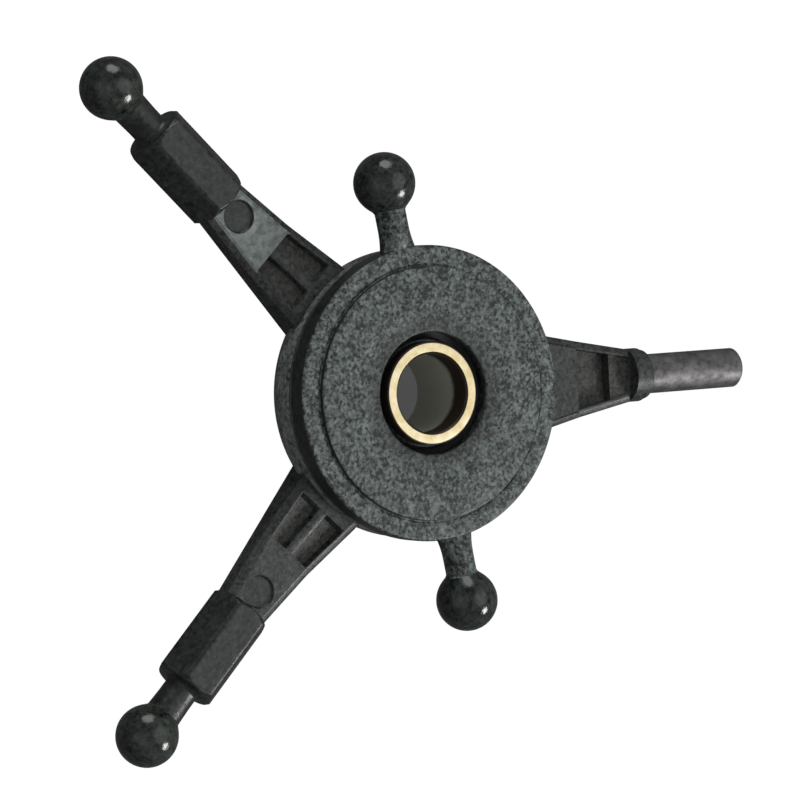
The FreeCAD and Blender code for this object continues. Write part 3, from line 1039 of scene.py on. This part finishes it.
@dataclass
class Arm:
    """Tapered arm along +X: a ramp off the ring, a hollow under the swept link balls, a flat top.

    Each small round has one point between its ends, at mid_round of its size.
    """

    end_x: float
    root_width: float
    tip_width: float
    pockets: tuple[Pocket, ...]
    ring_radius: float = 5.6
    start_x: float = 4.95
    root_top: float = 0.35
    bottom: float = -1.1
    flat_top: float = -0.1
    sweep_x: float = 8.25
    sweep_z: float = 1.45
    edge_round: float = 0.13
    edge_spans: int = 4
    bevel_width: float = 0.28
    bevel_drop: float = 0.14
    bevel_run_in: float = 0.02
    crown_drop: float = 0.004
    side_round: float = 0.04
    mid_round: float = 0.3
    wall_round: float = 0.05
    wall_draft: float = 0.04
    wall_shares: tuple[float, ...] = (0.0, 0.18, 0.5, 0.82, 1.0)
    floor_spans: int = 7
    station_count: int = 44
    tip_runs: Span = (0.08, 0.03)
    tip_reserve: float = 0.1
    tip_squeeze: Span = (0.96, 0.94)

    def sweep_radius(self) -> float:
        """Radius of the hollow that lets the rotating link balls pass."""
        return self.sweep_z - self.flat_top

    def ramp(self) -> tuple[float, float]:
        """Give the ramp's fall angle and the place where it runs into the hollow.

        Returns:
            The angle in radians, negative where the ramp falls, and the place in millimetres.
        """
        rise = self.sweep_z - self.root_top
        run = self.sweep_x - self.ring_radius
        angle = math.atan2(rise, run) - math.asin(self.sweep_radius() / math.hypot(run, rise))
        return angle, self.sweep_x + self.sweep_radius() * math.sin(angle)

    def top(self, x: float) -> float:
        """Give the height of the arm's top at a distance from the shaft.

        Args:
            x: Distance from the shaft in millimetres.

        Returns:
            Height in millimetres.
        """
        angle, touch = self.ramp()
        if x <= self.ring_radius:
            return self.root_top
        if x <= touch:
            return self.root_top + (x - self.ring_radius) * math.tan(angle)
        if x <= self.sweep_x:
            return self.sweep_z - math.sqrt(self.sweep_radius() ** 2 - (x - self.sweep_x) ** 2)
        return self.flat_top

    def half_width(self, x: float) -> float:
        """Give half the arm's width, which tapers evenly from the ring to the tip."""
        share = (x - self.ring_radius) / (self.end_x - self.ring_radius)
        return (self.root_width + share * (self.tip_width - self.root_width)) / 2

    def pocket_at(self, x: float) -> tuple[float, Pocket]:
        """Give the pocket depth and the pocket that rules at a distance from the shaft.

        Args:
            x: Distance from the shaft in millimetres.

        Returns:
            The depth in millimetres, which is zero outside every pocket, and the pocket.
        """
        best = (0.0, self.pockets[0])
        for pocket in self.pockets:
            inside = min(x - pocket.start, pocket.end - x) / (self.wall_draft + self.wall_round)
            depth = pocket.depth * min(max(inside, 0.0), 1.0)
            if depth > best[0]:
                best = (depth, pocket)
        return best

    def section(self, x: float) -> list[Vector]:
        """Give the closed cross-section of the arm at a distance from the shaft, in metres.

        Args:
            x: Distance from the shaft in millimetres.

        Returns:
            The points in order round the section.
        """
        width = self.half_width(x)
        top = self.top(x)
        depth, pocket = self.pocket_at(x)
        edge = self.edge_round
        half: list[Point] = [(0.0, self.bottom)]
        for step in range(self.edge_spans + 1):
            angle = math.radians(-90 + 90 * step / self.edge_spans)
            half.append((width - edge + edge * math.cos(angle), self.bottom + edge + edge * math.sin(angle)))
        side = self.side_round
        mid = self.mid_round
        bevel = width - self.bevel_width
        half += [
            (width, top - self.bevel_drop - side),
            (width - mid * side, top - self.bevel_drop - mid * side),
            (width - side, top - self.bevel_drop + self.bevel_run_in),
            (bevel + side, top - self.bevel_run_in),
            (bevel - mid * side, top - self.crown_drop),
            (bevel - side, top),
        ]
        wall = width - pocket.rim
        turn = min(self.wall_round, depth / 3)
        floor = top - depth
        foot = wall - self.wall_draft
        wide = self.wall_round
        half += [
            (wall + wide, top),
            (wall + mid * wide, top - mid * turn),
            (wall, top - turn),
            (foot, floor + turn),
            (foot - mid * wide, floor + mid * turn),
            (foot - wide, floor),
        ]
        rib = pocket.rib_half_width
        if rib:
            rib_foot = rib + self.wall_draft
            half += [
                (rib_foot + wide, floor),
                (rib_foot + mid * wide, floor + mid * turn),
                (rib_foot, floor + turn),
                (rib, top - turn),
                (rib - mid * wide, top - mid * turn),
                (rib - wide, top),
                (0.0, top),
            ]
        else:
            half += [((foot - wide) * share / self.floor_spans, floor)
                     for share in range(self.floor_spans - 1, -1, -1)]
        loop = half + [(-y, z) for y, z in reversed(half[1:-1])]
        return [Vector((x, y, z)) * MM for y, z in loop]

    def stations(self) -> list[float]:
        """Give the places of the cross-sections, close together at pocket walls.

        Returns:
            Distances from the shaft in millimetres, the nearest first.
        """
        last = self.end_x - min(self.tip_runs)
        places = {self.start_x, self.ring_radius} | {self.end_x - run for run in self.tip_runs}
        for step in range(1, self.station_count):
            run = self.end_x - self.tip_reserve - self.start_x
            places.add(round(self.start_x + run * step / self.station_count, 4))
        slope = self.wall_draft + self.wall_round
        for pocket in self.pockets:
            for share in self.wall_shares:
                places.add(round(pocket.start + slope * share, 4))
                places.add(round(pocket.end - slope * share, 4))
        return sorted(place for place in places if place <= last)

    def mesh(self) -> Solid:
        """Build the arm as one closed mesh with a small chamfer round its end.

        Returns:
            The closed mesh, in metres.
        """
        rings = [self.section(x) for x in self.stations()]
        middle = Vector((self.end_x, 0, (self.bottom + self.flat_top) / 2)) * MM
        across, up = self.tip_squeeze
        end_ring = []
        for point in self.section(self.end_x):
            offset = point - middle
            end_ring.append(middle + Vector((0, offset.y * across, offset.z * up)))
        return skin(rings + [end_ring])


class RingPaint(IntEnum):
    """Material numbers on the stationary ring; every other face keeps number zero, the grained finish."""

    POCKET = 1
    # Painted light: the top of the servo arm on the +Y side gets a lighter finish.
    LIT_LAND = 2
    # Painted light: the ring's outer wall gets a lighter finish.
    LIT_BAND = 3
    # Painted shade: the dimples get the darker side finish.
    SHADED_DIMPLE = 4


@dataclass
class StationaryRing:
    """Ring that does not turn, with its two servo arms and the guide arm in one moulding."""

    wall: float = 0.9
    foot_wall: float = 0.42
    straight_height: float = 1.05
    taper_round: float = 0.25
    lip_thickness: float = 0.3
    lip_overhang: float = 0.2
    foot_height: float = 0.23
    retainer_depth: float = 0.12
    servo_root_width: float = 3.1
    servo_tip_width: float = 2.0
    servo_pocket_start: float = 0.35
    guide_root_width: float = 4.0
    guide_tip_width: float = 2.0
    guide_pocket_end: float = 0.25
    guide_pocket_to_pin: float = 0.15
    dimple_radius: float = 0.625
    dimple_depth: float = 0.12
    dimple_from_tip: float = 0.82
    dimple_cutter_top: float = 0.3
    collar_wall: float = 0.2
    collar_length: float = 0.55
    collar_root: float = 0.3
    collar_lip: float = 0.3
    collar_lip_height: float = 0.08
    collar_lip_round: float = 0.06
    collar_mouth_round: float = 0.07
    collar_mouth_depth: float = 0.05
    servo_mounts: tuple[str, str] = ("servo_ball_a", "servo_ball_b")
    paint_slack: float = 0.01
    land_slack: float = 0.02
    dimple_paint_depth: float = 0.3
    pocket_paint_start: float = 0.3
    pocket_paint_drop: float = 0.08
    upright_normal: float = 0.9
    floor_normal: float = 0.3

    def servo_arm_end(self) -> float:
        """Give the distance from the shaft to the end of a servo arm, where its stud starts."""
        reach = reach_of(mount_place(self.servo_mounts[0])[0])
        return reach - ServoStud.ball_radius - ServoStud.neck_length - ServoStud.hex_length

    def band(self) -> Solid:
        """Turn the ring with its bearing seat, lip and retainer groove.

        Returns:
            The closed mesh, in metres.
        """
        seat = node_reach("bearing_outer_race")
        race_top = node_top("bearing_outer_race")
        race_bottom = node_bottom("bearing_outer_race")
        groove_bottom = node_bottom("outer_race_retainer")
        top = race_top + self.lip_thickness
        bottom = groove_bottom - self.foot_height
        corners: list[Corner] = [
            (seat - self.lip_overhang, top, SMALL_ROUND),
            (seat + self.wall, top, FULL_ROUND),
            (seat + self.wall, top - self.straight_height, self.taper_round),
            (seat + self.foot_wall, bottom, FULL_ROUND),
            (seat, bottom, SMALL_ROUND),
            (seat, groove_bottom, HAIR_ROUND),
            (seat + self.retainer_depth, groove_bottom, 0.0),
            (seat + self.retainer_depth, race_bottom, 0.0),
            (seat, race_bottom, 0.0),
            (seat, race_top, 0.0),
            (seat - self.lip_overhang, race_top, FINE_ROUND),
        ]
        return lathe(rounded(corners))

    def servo_arm(self) -> Arm:
        """Describe a servo arm: two ramp pockets with a gusset rib between them.

        Returns:
            The arm.
        """
        arm = Arm(self.servo_arm_end(), self.servo_root_width, self.servo_tip_width, pockets=())
        start = arm.ring_radius + self.servo_pocket_start
        arm.pockets = (Pocket(start, arm.ramp()[1], depth=0.3, rim=0.36, rib_half_width=0.2),)
        return arm

    def guide_arm(self) -> Arm:
        """Describe the guide arm: one stepped pocket.

        Returns:
            The arm.
        """
        pin_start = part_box("guide_pin")[0].x / MM
        collar_end = mount_place("guide_pin")[0].x - mount_size("guide_pin", "length_mm") / 2
        end = collar_end - self.collar_length
        arm = Arm(end, self.guide_root_width, self.guide_tip_width, pockets=())
        touch = arm.ramp()[1]
        arm.pockets = (
            Pocket(touch, end - self.guide_pocket_end, depth=0.12, rim=0.3),
            Pocket(touch, pin_start - self.guide_pocket_to_pin, depth=0.5, rim=0.3),
        )
        return arm

    def dimple(self) -> Solid:
        """Build the cutter for the round dimple near the end of a servo arm, with a broken edge.

        Returns:
            The closed mesh, in metres, for an arm along +X.
        """
        radius = self.dimple_radius
        floor = Arm.flat_top - self.dimple_depth
        outline = [
            (0.0, floor),
            (radius - SMALL_ROUND, floor),
            (radius, floor + SMALL_ROUND),
            (radius, Arm.flat_top - FINE_ROUND),
            (radius + SMALL_ROUND, Arm.flat_top + HAIR_ROUND),
            (radius + SMALL_ROUND, self.dimple_cutter_top),
            (0.0, self.dimple_cutter_top),
        ]
        cutter = lathe(outline, segments=64)
        along = (self.servo_arm_end() - self.dimple_from_tip) * MM
        bmesh.ops.translate(cutter, vec=Vector((along, 0, 0)), verts=cutter.verts)
        return cutter

    def collar(self, arm_end: float) -> Solid:
        """Turn the collar that grips the guide pin, with a raised lip at the arm.

        Args:
            arm_end: Distance from the shaft to the end of the guide arm, in millimetres.

        Returns:
            The closed mesh, in metres.
        """
        pin_radius = mount_size("guide_pin", "r_mm")
        body = pin_radius + self.collar_wall
        lip = body + self.collar_lip_height
        root = arm_end - self.collar_root
        lip_end = arm_end + self.collar_lip
        mouth = arm_end + self.collar_length
        corners: list[Corner] = [
            (0.0, root, 0.0),
            (lip, root, 0.0),
            (lip, lip_end, self.collar_lip_round),
            (body, lip_end, CRISP_ROUND),
            (body, mouth, self.collar_mouth_round),
            (pin_radius, mouth, 0.0),
            (pin_radius, mouth - self.collar_mouth_depth, 0.0),
            (0.0, mouth - self.collar_mouth_depth, 0.0),
        ]
        return stand_along_x(lathe(rounded(corners), segments=96), mount_place("guide_pin")[0].z)

    def build(self, finishes: Finishes) -> None:
        """Build and dress the ring with its arms.

        Args:
            finishes: Finishes of the object.
        """
        piece = make_object("stationary_ring_moulding", self.band())
        arms = []
        for name in self.servo_mounts:
            axis = mount_place(name)[1]
            arm = make_object(f"{name}_arm", turn_to(self.servo_arm().mesh(), axis))
            combine(arm, [make_object(f"{name}_dimple", turn_to(self.dimple(), axis))], "DIFFERENCE")
            arms.append(arm)
        guide = self.guide_arm()
        arms.append(make_object("guide_arm", guide.mesh()))
        arms.append(make_object("guide_collar", self.collar(guide.end_x)))
        combine(piece, arms, "UNION")
        self.paint(piece)
        finish_piece(
            piece, Body.STATIONARY,
            [finishes.ring, finishes.pocket, finishes.land, finishes.band, finishes.side],
            ["stationary_ring"])

    def paint(self, piece: Piece) -> None:
        """Paint the outer band lighter and the top of one servo arm lighter still, both as painted light;
        give the pocket floors their rough finish, and the dimples the darker side finish as painted shade.

        Args:
            piece: The ring with its arms. Only the servo arm on the +Y side gets the painted light on its
                top.
        """
        arm = self.servo_arm()
        touch = arm.ramp()[1] * MM
        land_low = (arm.flat_top - self.land_slack) * MM
        dimple_low = land_low - self.dimple_paint_depth * MM
        dimple_reach = (self.dimple_radius + self.paint_slack) * MM
        along = (self.servo_arm_end() - self.dimple_from_tip) * MM
        dimples = [mount_place(name)[1] * along for name in self.servo_mounts]
        band_low = node_bottom("outer_race_retainer") * MM
        band_start = node_reach("bearing_outer_race") + self.foot_wall
        band_end = arm.ring_radius + self.paint_slack

        def is_lit_band(centre: Vector, normal: Vector) -> bool:
            """Pick the faces of the ring's outer band, which get a lighter finish as painted light.

            Args:
                centre: Centre of the face in metres.
                normal: Normal of the face.

            Returns:
                True if the face lies on it.
            """
            reach = reach_of(centre) / MM
            outward = (centre.x * normal.x + centre.y * normal.y) / (reach * MM)
            return band_start < reach < band_end and outward > self.upright_normal and centre.z > band_low

        def is_lit_land(centre: Vector, normal: Vector) -> bool:
            """Pick the top of the servo arm on the +Y side, from the foot of its ramp outwards, for the
            painted light.
            """
            on_top = normal.z > self.upright_normal and centre.z > land_low
            return centre.x < 0 < centre.y and reach_of(centre) > touch and on_top

        def is_pocket(centre: Vector, normal: Vector) -> bool:
            """Pick the floors of the pockets, which lie lower than the arm's top.

            Args:
                centre: Centre of the face in metres.
                normal: Normal of the face.

            Returns:
                True if the face is one of them.
            """
            reach = reach_of(centre) / MM
            if reach < arm.ring_radius + self.pocket_paint_start or normal.z < self.floor_normal:
                return False
            return centre.z / MM < arm.top(reach) - self.pocket_paint_drop

        def is_shaded_dimple(centre: Vector, normal: Vector) -> bool:
            """Pick the walls and floors of the two dimples, which get the darker side finish as painted
            shade.
            """
            off = min((centre.xy - place.xy).length for place in dimples)
            return off < dimple_reach and dimple_low < centre.z < land_low

        paint_faces(piece, RingPaint.LIT_BAND, is_lit_band)
        paint_faces(piece, RingPaint.LIT_LAND, is_lit_land)
        paint_faces(piece, RingPaint.POCKET, is_pocket)
        paint_faces(piece, RingPaint.SHADED_DIMPLE, is_shaded_dimple)


# ---------------------------------------------------------------- studs, pin, sleeve and centre ball


@dataclass
class ServoStud:
    """Hexagonal ball stud on the end of a servo arm."""

    mount: str
    node: str
    ball_radius: float = 1.2
    hex_length: float = 3.8
    across_flats: float = 2.3
    corner_round: float = 0.04
    end_chamfer: float = 0.22
    chamfer_steps: int = 8
    middle_shares: tuple[float, ...] = (0.25, 0.5, 0.75)
    neck_radius: float = 0.675
    neck_length: float = 1.15
    neck_flare: float = 0.2
    neck_gap: float = 0.001
    flare_shares: tuple[float, ...] = (0.0, 0.2, 0.45, 0.75, 1.0, 2.0, 3.0)
    segments: int = 144

    def hex_radius(self, angle: float) -> float:
        """Give the hexagon's radius at an angle, with its corners just broken.

        Args:
            angle: Angle round the stud in radians.

        Returns:
            Radius in millimetres.
        """
        flat = self.across_flats / 2
        sector = math.radians(60)
        across = angle % sector - sector / 2
        corner = flat / math.cos(sector / 2)
        return min(flat / math.cos(across), corner - self.corner_round)

    def hexagons(self, start: float, end: float) -> list[Point]:
        """Give the place of each ring of the hexagon, and the radius that its chamfers leave there.

        Args:
            start: Where the hexagon starts, in millimetres from the shaft.
            end: Where it ends.

        Returns:
            (place, radius) of each ring, in millimetres.
        """
        corner = self.across_flats / math.sqrt(3)
        slope = [self.end_chamfer * step / self.chamfer_steps for step in range(self.chamfer_steps + 1)]
        rising = [(start + run, corner - self.end_chamfer + run) for run in slope]
        middle = [(start + self.hex_length * share, corner) for share in self.middle_shares]
        falling = [(end - run, corner - self.end_chamfer + run) for run in reversed(slope)]
        return rising + middle + falling

    def rounds(self, shape: LinkBall, start: float) -> list[Point]:
        """Give the place and radius of each ring of the neck, flared at its root, and of the ball.

        Args:
            shape: Ball of the stud.
            start: Where the neck leaves the hexagon, in millimetres from the shaft.

        Returns:
            (place, radius) of each ring, in millimetres.
        """
        neck = []
        for share in self.flare_shares:
            flare = self.neck_flare * (1 - min(share, 1.0)) ** 2
            neck.append((start + self.neck_gap + self.neck_flare * share, self.neck_radius + flare))
        neck_end = start + self.neck_flare * max(self.flare_shares)
        return neck + [(x, shape.half_size(x, self.neck_radius)) for x in shape.stations() if x > neck_end]

    def build(self, finishes: Finishes) -> None:
        """Build and dress the stud.

        Args:
            finishes: Finishes of the object.
        """
        place, axis = mount_place(self.mount)
        shape = LinkBall(reach_of(place), self.neck_radius)
        hex_end = shape.centre_x - self.ball_radius - self.neck_length
        rings: list[list[Vector]] = []
        for x, limit in self.hexagons(hex_end - self.hex_length, hex_end):
            rings.append(ring_across(
                x, place.z, self.segments,
                lambda angle, limit=limit: (min(self.hex_radius(angle), limit),) * 2))
        for x, radius in self.rounds(shape, hex_end):
            rings.append(ring_across(
                x, place.z, self.segments, lambda angle, radius=radius: (radius, radius)))
        rings.append(shape.tip(place.z))
        piece = make_object(f"{self.node}_moulding", turn_to(skin(rings), axis))
        paint_faces(piece, 1, shape.is_polished())
        finish_piece(piece, Body.STATIONARY, [finishes.stud, finishes.ball], [self.node])


@dataclass
class GuidePin:
    """Smooth grey pin that keeps the ring from turning."""

    tip_chamfer: float = 0.12
    chamfer_round: float = 0.06

    def build(self, finishes: Finishes) -> None:
        """Build and dress the pin.

        Args:
            finishes: Finishes of the object.
        """
        radius = mount_size("guide_pin", "r_mm")
        place = mount_place("guide_pin")[0]
        start = place.x - mount_size("guide_pin", "length_mm") / 2
        tip = node_reach("guide_pin")
        corners: list[Corner] = [
            (0.0, start, 0.0),
            (radius, start, 0.0),
            (radius, tip - self.tip_chamfer, self.chamfer_round),
            (radius - self.tip_chamfer, tip, SMALL_ROUND),
            (0.0, tip, 0.0),
        ]
        turned = lathe(rounded(corners, steps=4), segments=96)
        piece = make_object("guide_pin_ground", stand_along_x(turned, place.z))
        finish_piece(piece, Body.STATIONARY, [finishes.pin], ["guide_pin"])


@dataclass
class ShaftSleeve:
    """Brass tube that slides on the main shaft, with its cut edges broken and its mouth countersunk."""

    edge: float = 0.07
    countersink: float = 0.08
    lift: float = 0.001

    def build(self, finishes: Finishes) -> None:
        """Build and dress the sleeve.

        Args:
            finishes: Finishes of the object.
        """
        bore = mount_size("shaft_bore", "r_mm")
        radius = node_reach("shaft_sleeve")
        low = node_bottom("shaft_sleeve") + self.lift
        high = node_top("shaft_sleeve")
        corners: list[Corner] = [
            (bore, low, self.edge),
            (radius, low, self.edge),
            (radius, high, self.edge),
            (bore + self.countersink, high, HAIR_ROUND),
            (bore, high - self.countersink, HAIR_ROUND),
        ]
        piece = make_object("brass_sleeve", lathe(rounded(corners)))
        land_start = (bore + self.countersink) * MM
        # Number 1 paints the bore: painted shade near the mouth, painted light lower down.
        paint_faces(piece, 1, lambda centre, normal: reach_of(centre) < land_start)
        # Number 2 paints the outer side near black, as painted shade in the gap round the tube.
        paint_faces(piece, 2, farther_than(radius - self.edge))
        finish_piece(
            piece, Body.SHAFT_BALL,
            [finishes.cut_brass, finishes.oiled_brass, finishes.blackened_brass], ["shaft_sleeve"])


@dataclass
class CentreBall:
    """Black ball pressed on the sleeve, seen in the gap round it."""

    steps: int = 28

    def build(self, finishes: Finishes) -> None:
        """Build and dress the ball.

        Args:
            finishes: Finishes of the object.
        """
        radius = node_reach("centre_ball")
        bore = node_reach("shaft_sleeve")
        half = node_top("centre_ball")
        start = math.asin(half / radius)
        outline = [(bore, half)]
        for step in range(self.steps + 1):
            angle = start - 2 * start * step / self.steps
            outline.append((radius * math.cos(angle), radius * math.sin(angle)))
        outline.append((bore, -half))
        piece = make_object("tilting_ball", lathe(outline))
        finish_piece(piece, Body.SHAFT_BALL, [finishes.ball], ["centre_ball"])


def dress_inner_parts(finishes: Finishes) -> None:
    """Give the CAD's own inner parts their finishes.

    Args:
        finishes: Finishes of the object.
    """
    by_slot = {
        Slot.ACETAL.value: finishes.stud, Slot.BEARING.value: finishes.bearing,
        Slot.SPRING.value: finishes.spring, Slot.NYLON.value: finishes.nylon, Slot.PTFE.value: finishes.liner,
    }
    replaced = {"centre_ball", "rotor_plate", "stationary_ring", "servo_stud_a", "servo_stud_b", "guide_pin",
                "shaft_sleeve"}
    for entry in frame["record"]["subparts"]:
        if entry["node"] in replaced:
            continue
        part = frame["nodes"][entry["node"]]
        part.data.materials.clear()
        part.data.materials.append(by_slot[entry["material_slot"]])
        LOG.info("%s: CAD part dressed as %s", entry["node"], entry["material_slot"])


# ---------------------------------------------------------------- studio


@dataclass(frozen=True)
class SoftBox:
    """Round lamp that looks at the object."""

    name: str
    azimuth: float
    elevation: float
    distance: float
    size: float
    power: float

    def build(self) -> None:
        """Hang the lamp."""
        lamp = bpy.data.lights.new(self.name, "AREA")
        lamp.shape = "DISK"
        lamp.size = self.size
        lamp.energy = self.power
        turn = math.radians(self.azimuth)
        lift = math.radians(self.elevation)
        away = Vector((math.cos(turn) * math.cos(lift), math.sin(turn) * math.cos(lift), math.sin(lift)))
        holder = bpy.data.objects.new(self.name, lamp)
        holder.location = away * self.distance
        holder.rotation_euler = away.to_track_quat("Z", "Y").to_euler()
        bpy.context.scene.collection.objects.link(holder)


@dataclass
class Studio:
    """Pale floor, white background, soft lamps and the camera.

    The floor lies floor_drop_mm under the CAD model's box, which clears a servo ball at both tilt limits.
    """

    floor_size: float = 3.0
    floor_drop_mm: float = 3.1
    floor_white_share: float = 0.8
    floor_glow: float = 1.25
    paper: str = "#6c6c6c"
    white: str = "#ffffff"
    shaded_radius_mm: float = 1.5
    shaded_core: float = 0.8
    fill_strength: float = 0.25
    lean: float = 4.75
    tilt: float = 30.5
    roll: float = -3.67
    distance: float = 0.150
    lens: float = 173.8
    sensor_width: float = 36.0
    clip_start: float = 0.01
    aim_right: float = -0.259
    aim_up: float = -0.279

    def sight(self) -> Vector:
        """Give the direction from the object to the camera.

        Returns:
            The direction, of length one.
        """
        lean = math.radians(self.lean)
        tilt = math.radians(self.tilt)
        return Vector((-math.cos(lean) * math.sin(tilt), math.sin(lean) * math.sin(tilt), math.cos(tilt)))

    def floor(self) -> None:
        """Lay the floor, white where it is seen, and plain grey paper where the sight through the bore meets
        it, as painted shade under the object.
        """
        level = cad_box[0].z - self.floor_drop_mm * MM
        behind = self.sight() * (level / self.sight().z)
        mesh = bmesh.new()
        bmesh.ops.create_grid(mesh, x_segments=1, y_segments=1, size=self.floor_size / 2)
        bmesh.ops.translate(mesh, vec=Vector((0, 0, level)), verts=mesh.verts)
        ground = make_object("studio_floor", mesh)
        material = bpy.data.materials.new("white paper sweep")
        material.use_nodes = True
        tree = material.node_tree
        tree.nodes.clear()
        paper = add_node(tree, "ShaderNodeBsdfDiffuse", {"Color": srgb(self.paper)})
        glow = add_node(tree, "ShaderNodeEmission", {"Color": srgb(self.white), "Strength": self.floor_glow})
        path = add_node(tree, "ShaderNodeLightPath")
        radius = self.shaded_radius_mm * MM
        open_floor = remap(
            tree, level_distance(tree, object_place(tree), (behind.x, behind.y)),
            (self.shaded_core * radius, radius), (0.0, self.floor_white_share))
        share = add_node(
            tree, "ShaderNodeMath", {"operation": "MULTIPLY"},
            {0: path.outputs["Is Camera Ray"], 1: open_floor})
        mixed = add_node(
            tree, "ShaderNodeMixShader", None,
            {0: share.outputs["Value"], 1: paper.outputs[0], 2: glow.outputs[0]})
        add_node(tree, "ShaderNodeOutputMaterial", None, {"Surface": mixed.outputs[0]})
        ground.data.materials.append(material)

    def background(self) -> None:
        """Make the world white where it is seen, and a soft fill elsewhere."""
        world = bpy.data.worlds.new("studio")
        world.use_nodes = True
        tree = world.node_tree
        tree.nodes.clear()
        path = add_node(tree, "ShaderNodeLightPath")
        fill, seen = (
            add_node(tree, "ShaderNodeBackground", {"Color": srgb(self.white), "Strength": strength})
            for strength in (self.fill_strength, 1.0))
        mixed = add_node(
            tree, "ShaderNodeMixShader", None,
            {0: path.outputs["Is Camera Ray"], 1: fill.outputs[0], 2: seen.outputs[0]})
        add_node(tree, "ShaderNodeOutputWorld", None, {"Surface": mixed.outputs[0]})
        bpy.context.scene.world = world

    def lamps(self) -> None:
        """Hang the lamps: a small hard key low in front, a broad window, one overhead and a faint fill."""
        for lamp in (
            SoftBox("key", azimuth=-40, elevation=33, distance=0.42, size=0.14, power=0.95),
            SoftBox("window", azimuth=92, elevation=17, distance=0.5, size=0.3, power=0.75),
            SoftBox("overhead", azimuth=12, elevation=64, distance=0.5, size=0.5, power=0.5),
            SoftBox("left fill", azimuth=182, elevation=40, distance=0.5, size=0.5, power=0.2),
        ):
            lamp.build()

    def camera(self) -> None:
        """Place a long lens above the object, leaning to the side of the servo arms."""
        back = self.sight()
        turn = Vector((0, 0, 1)).rotation_difference(back).to_matrix() @ Matrix.Rotation(
            math.radians(self.roll), 3, "Z")
        data = bpy.data.cameras.new("camera")
        data.lens = self.lens
        data.sensor_width = self.sensor_width
        data.clip_start = self.clip_start
        holder = bpy.data.objects.new("camera", data)
        offset = turn @ (Vector((self.aim_right, self.aim_up, 0)) * MM)
        holder.matrix_world = Matrix.Translation(back * self.distance + offset) @ turn.to_4x4()
        bpy.context.scene.collection.objects.link(holder)
        bpy.context.scene.camera = holder

    def build(self) -> None:
        """Set up everything round the object."""
        self.floor()
        self.background()
        self.lamps()
        self.camera()
        bpy.context.scene.view_settings.view_transform = "Standard"


def main() -> None:
    """Build the dressed swashplate and its studio."""
    logging.basicConfig(level=logging.INFO, format="%(name)s: %(message)s")
    finishes = Finishes.make()
    RotatingPlate().build(finishes)
    StationaryRing().build(finishes)
    ServoStud("servo_ball_a", "servo_stud_a").build(finishes)
    ServoStud("servo_ball_b", "servo_stud_b").build(finishes)
    GuidePin().build(finishes)
    ShaftSleeve().build(finishes)
    CentreBall().build(finishes)
    dress_inner_parts(finishes)
    Studio().build()


if __name__ == "__main__":
    main()
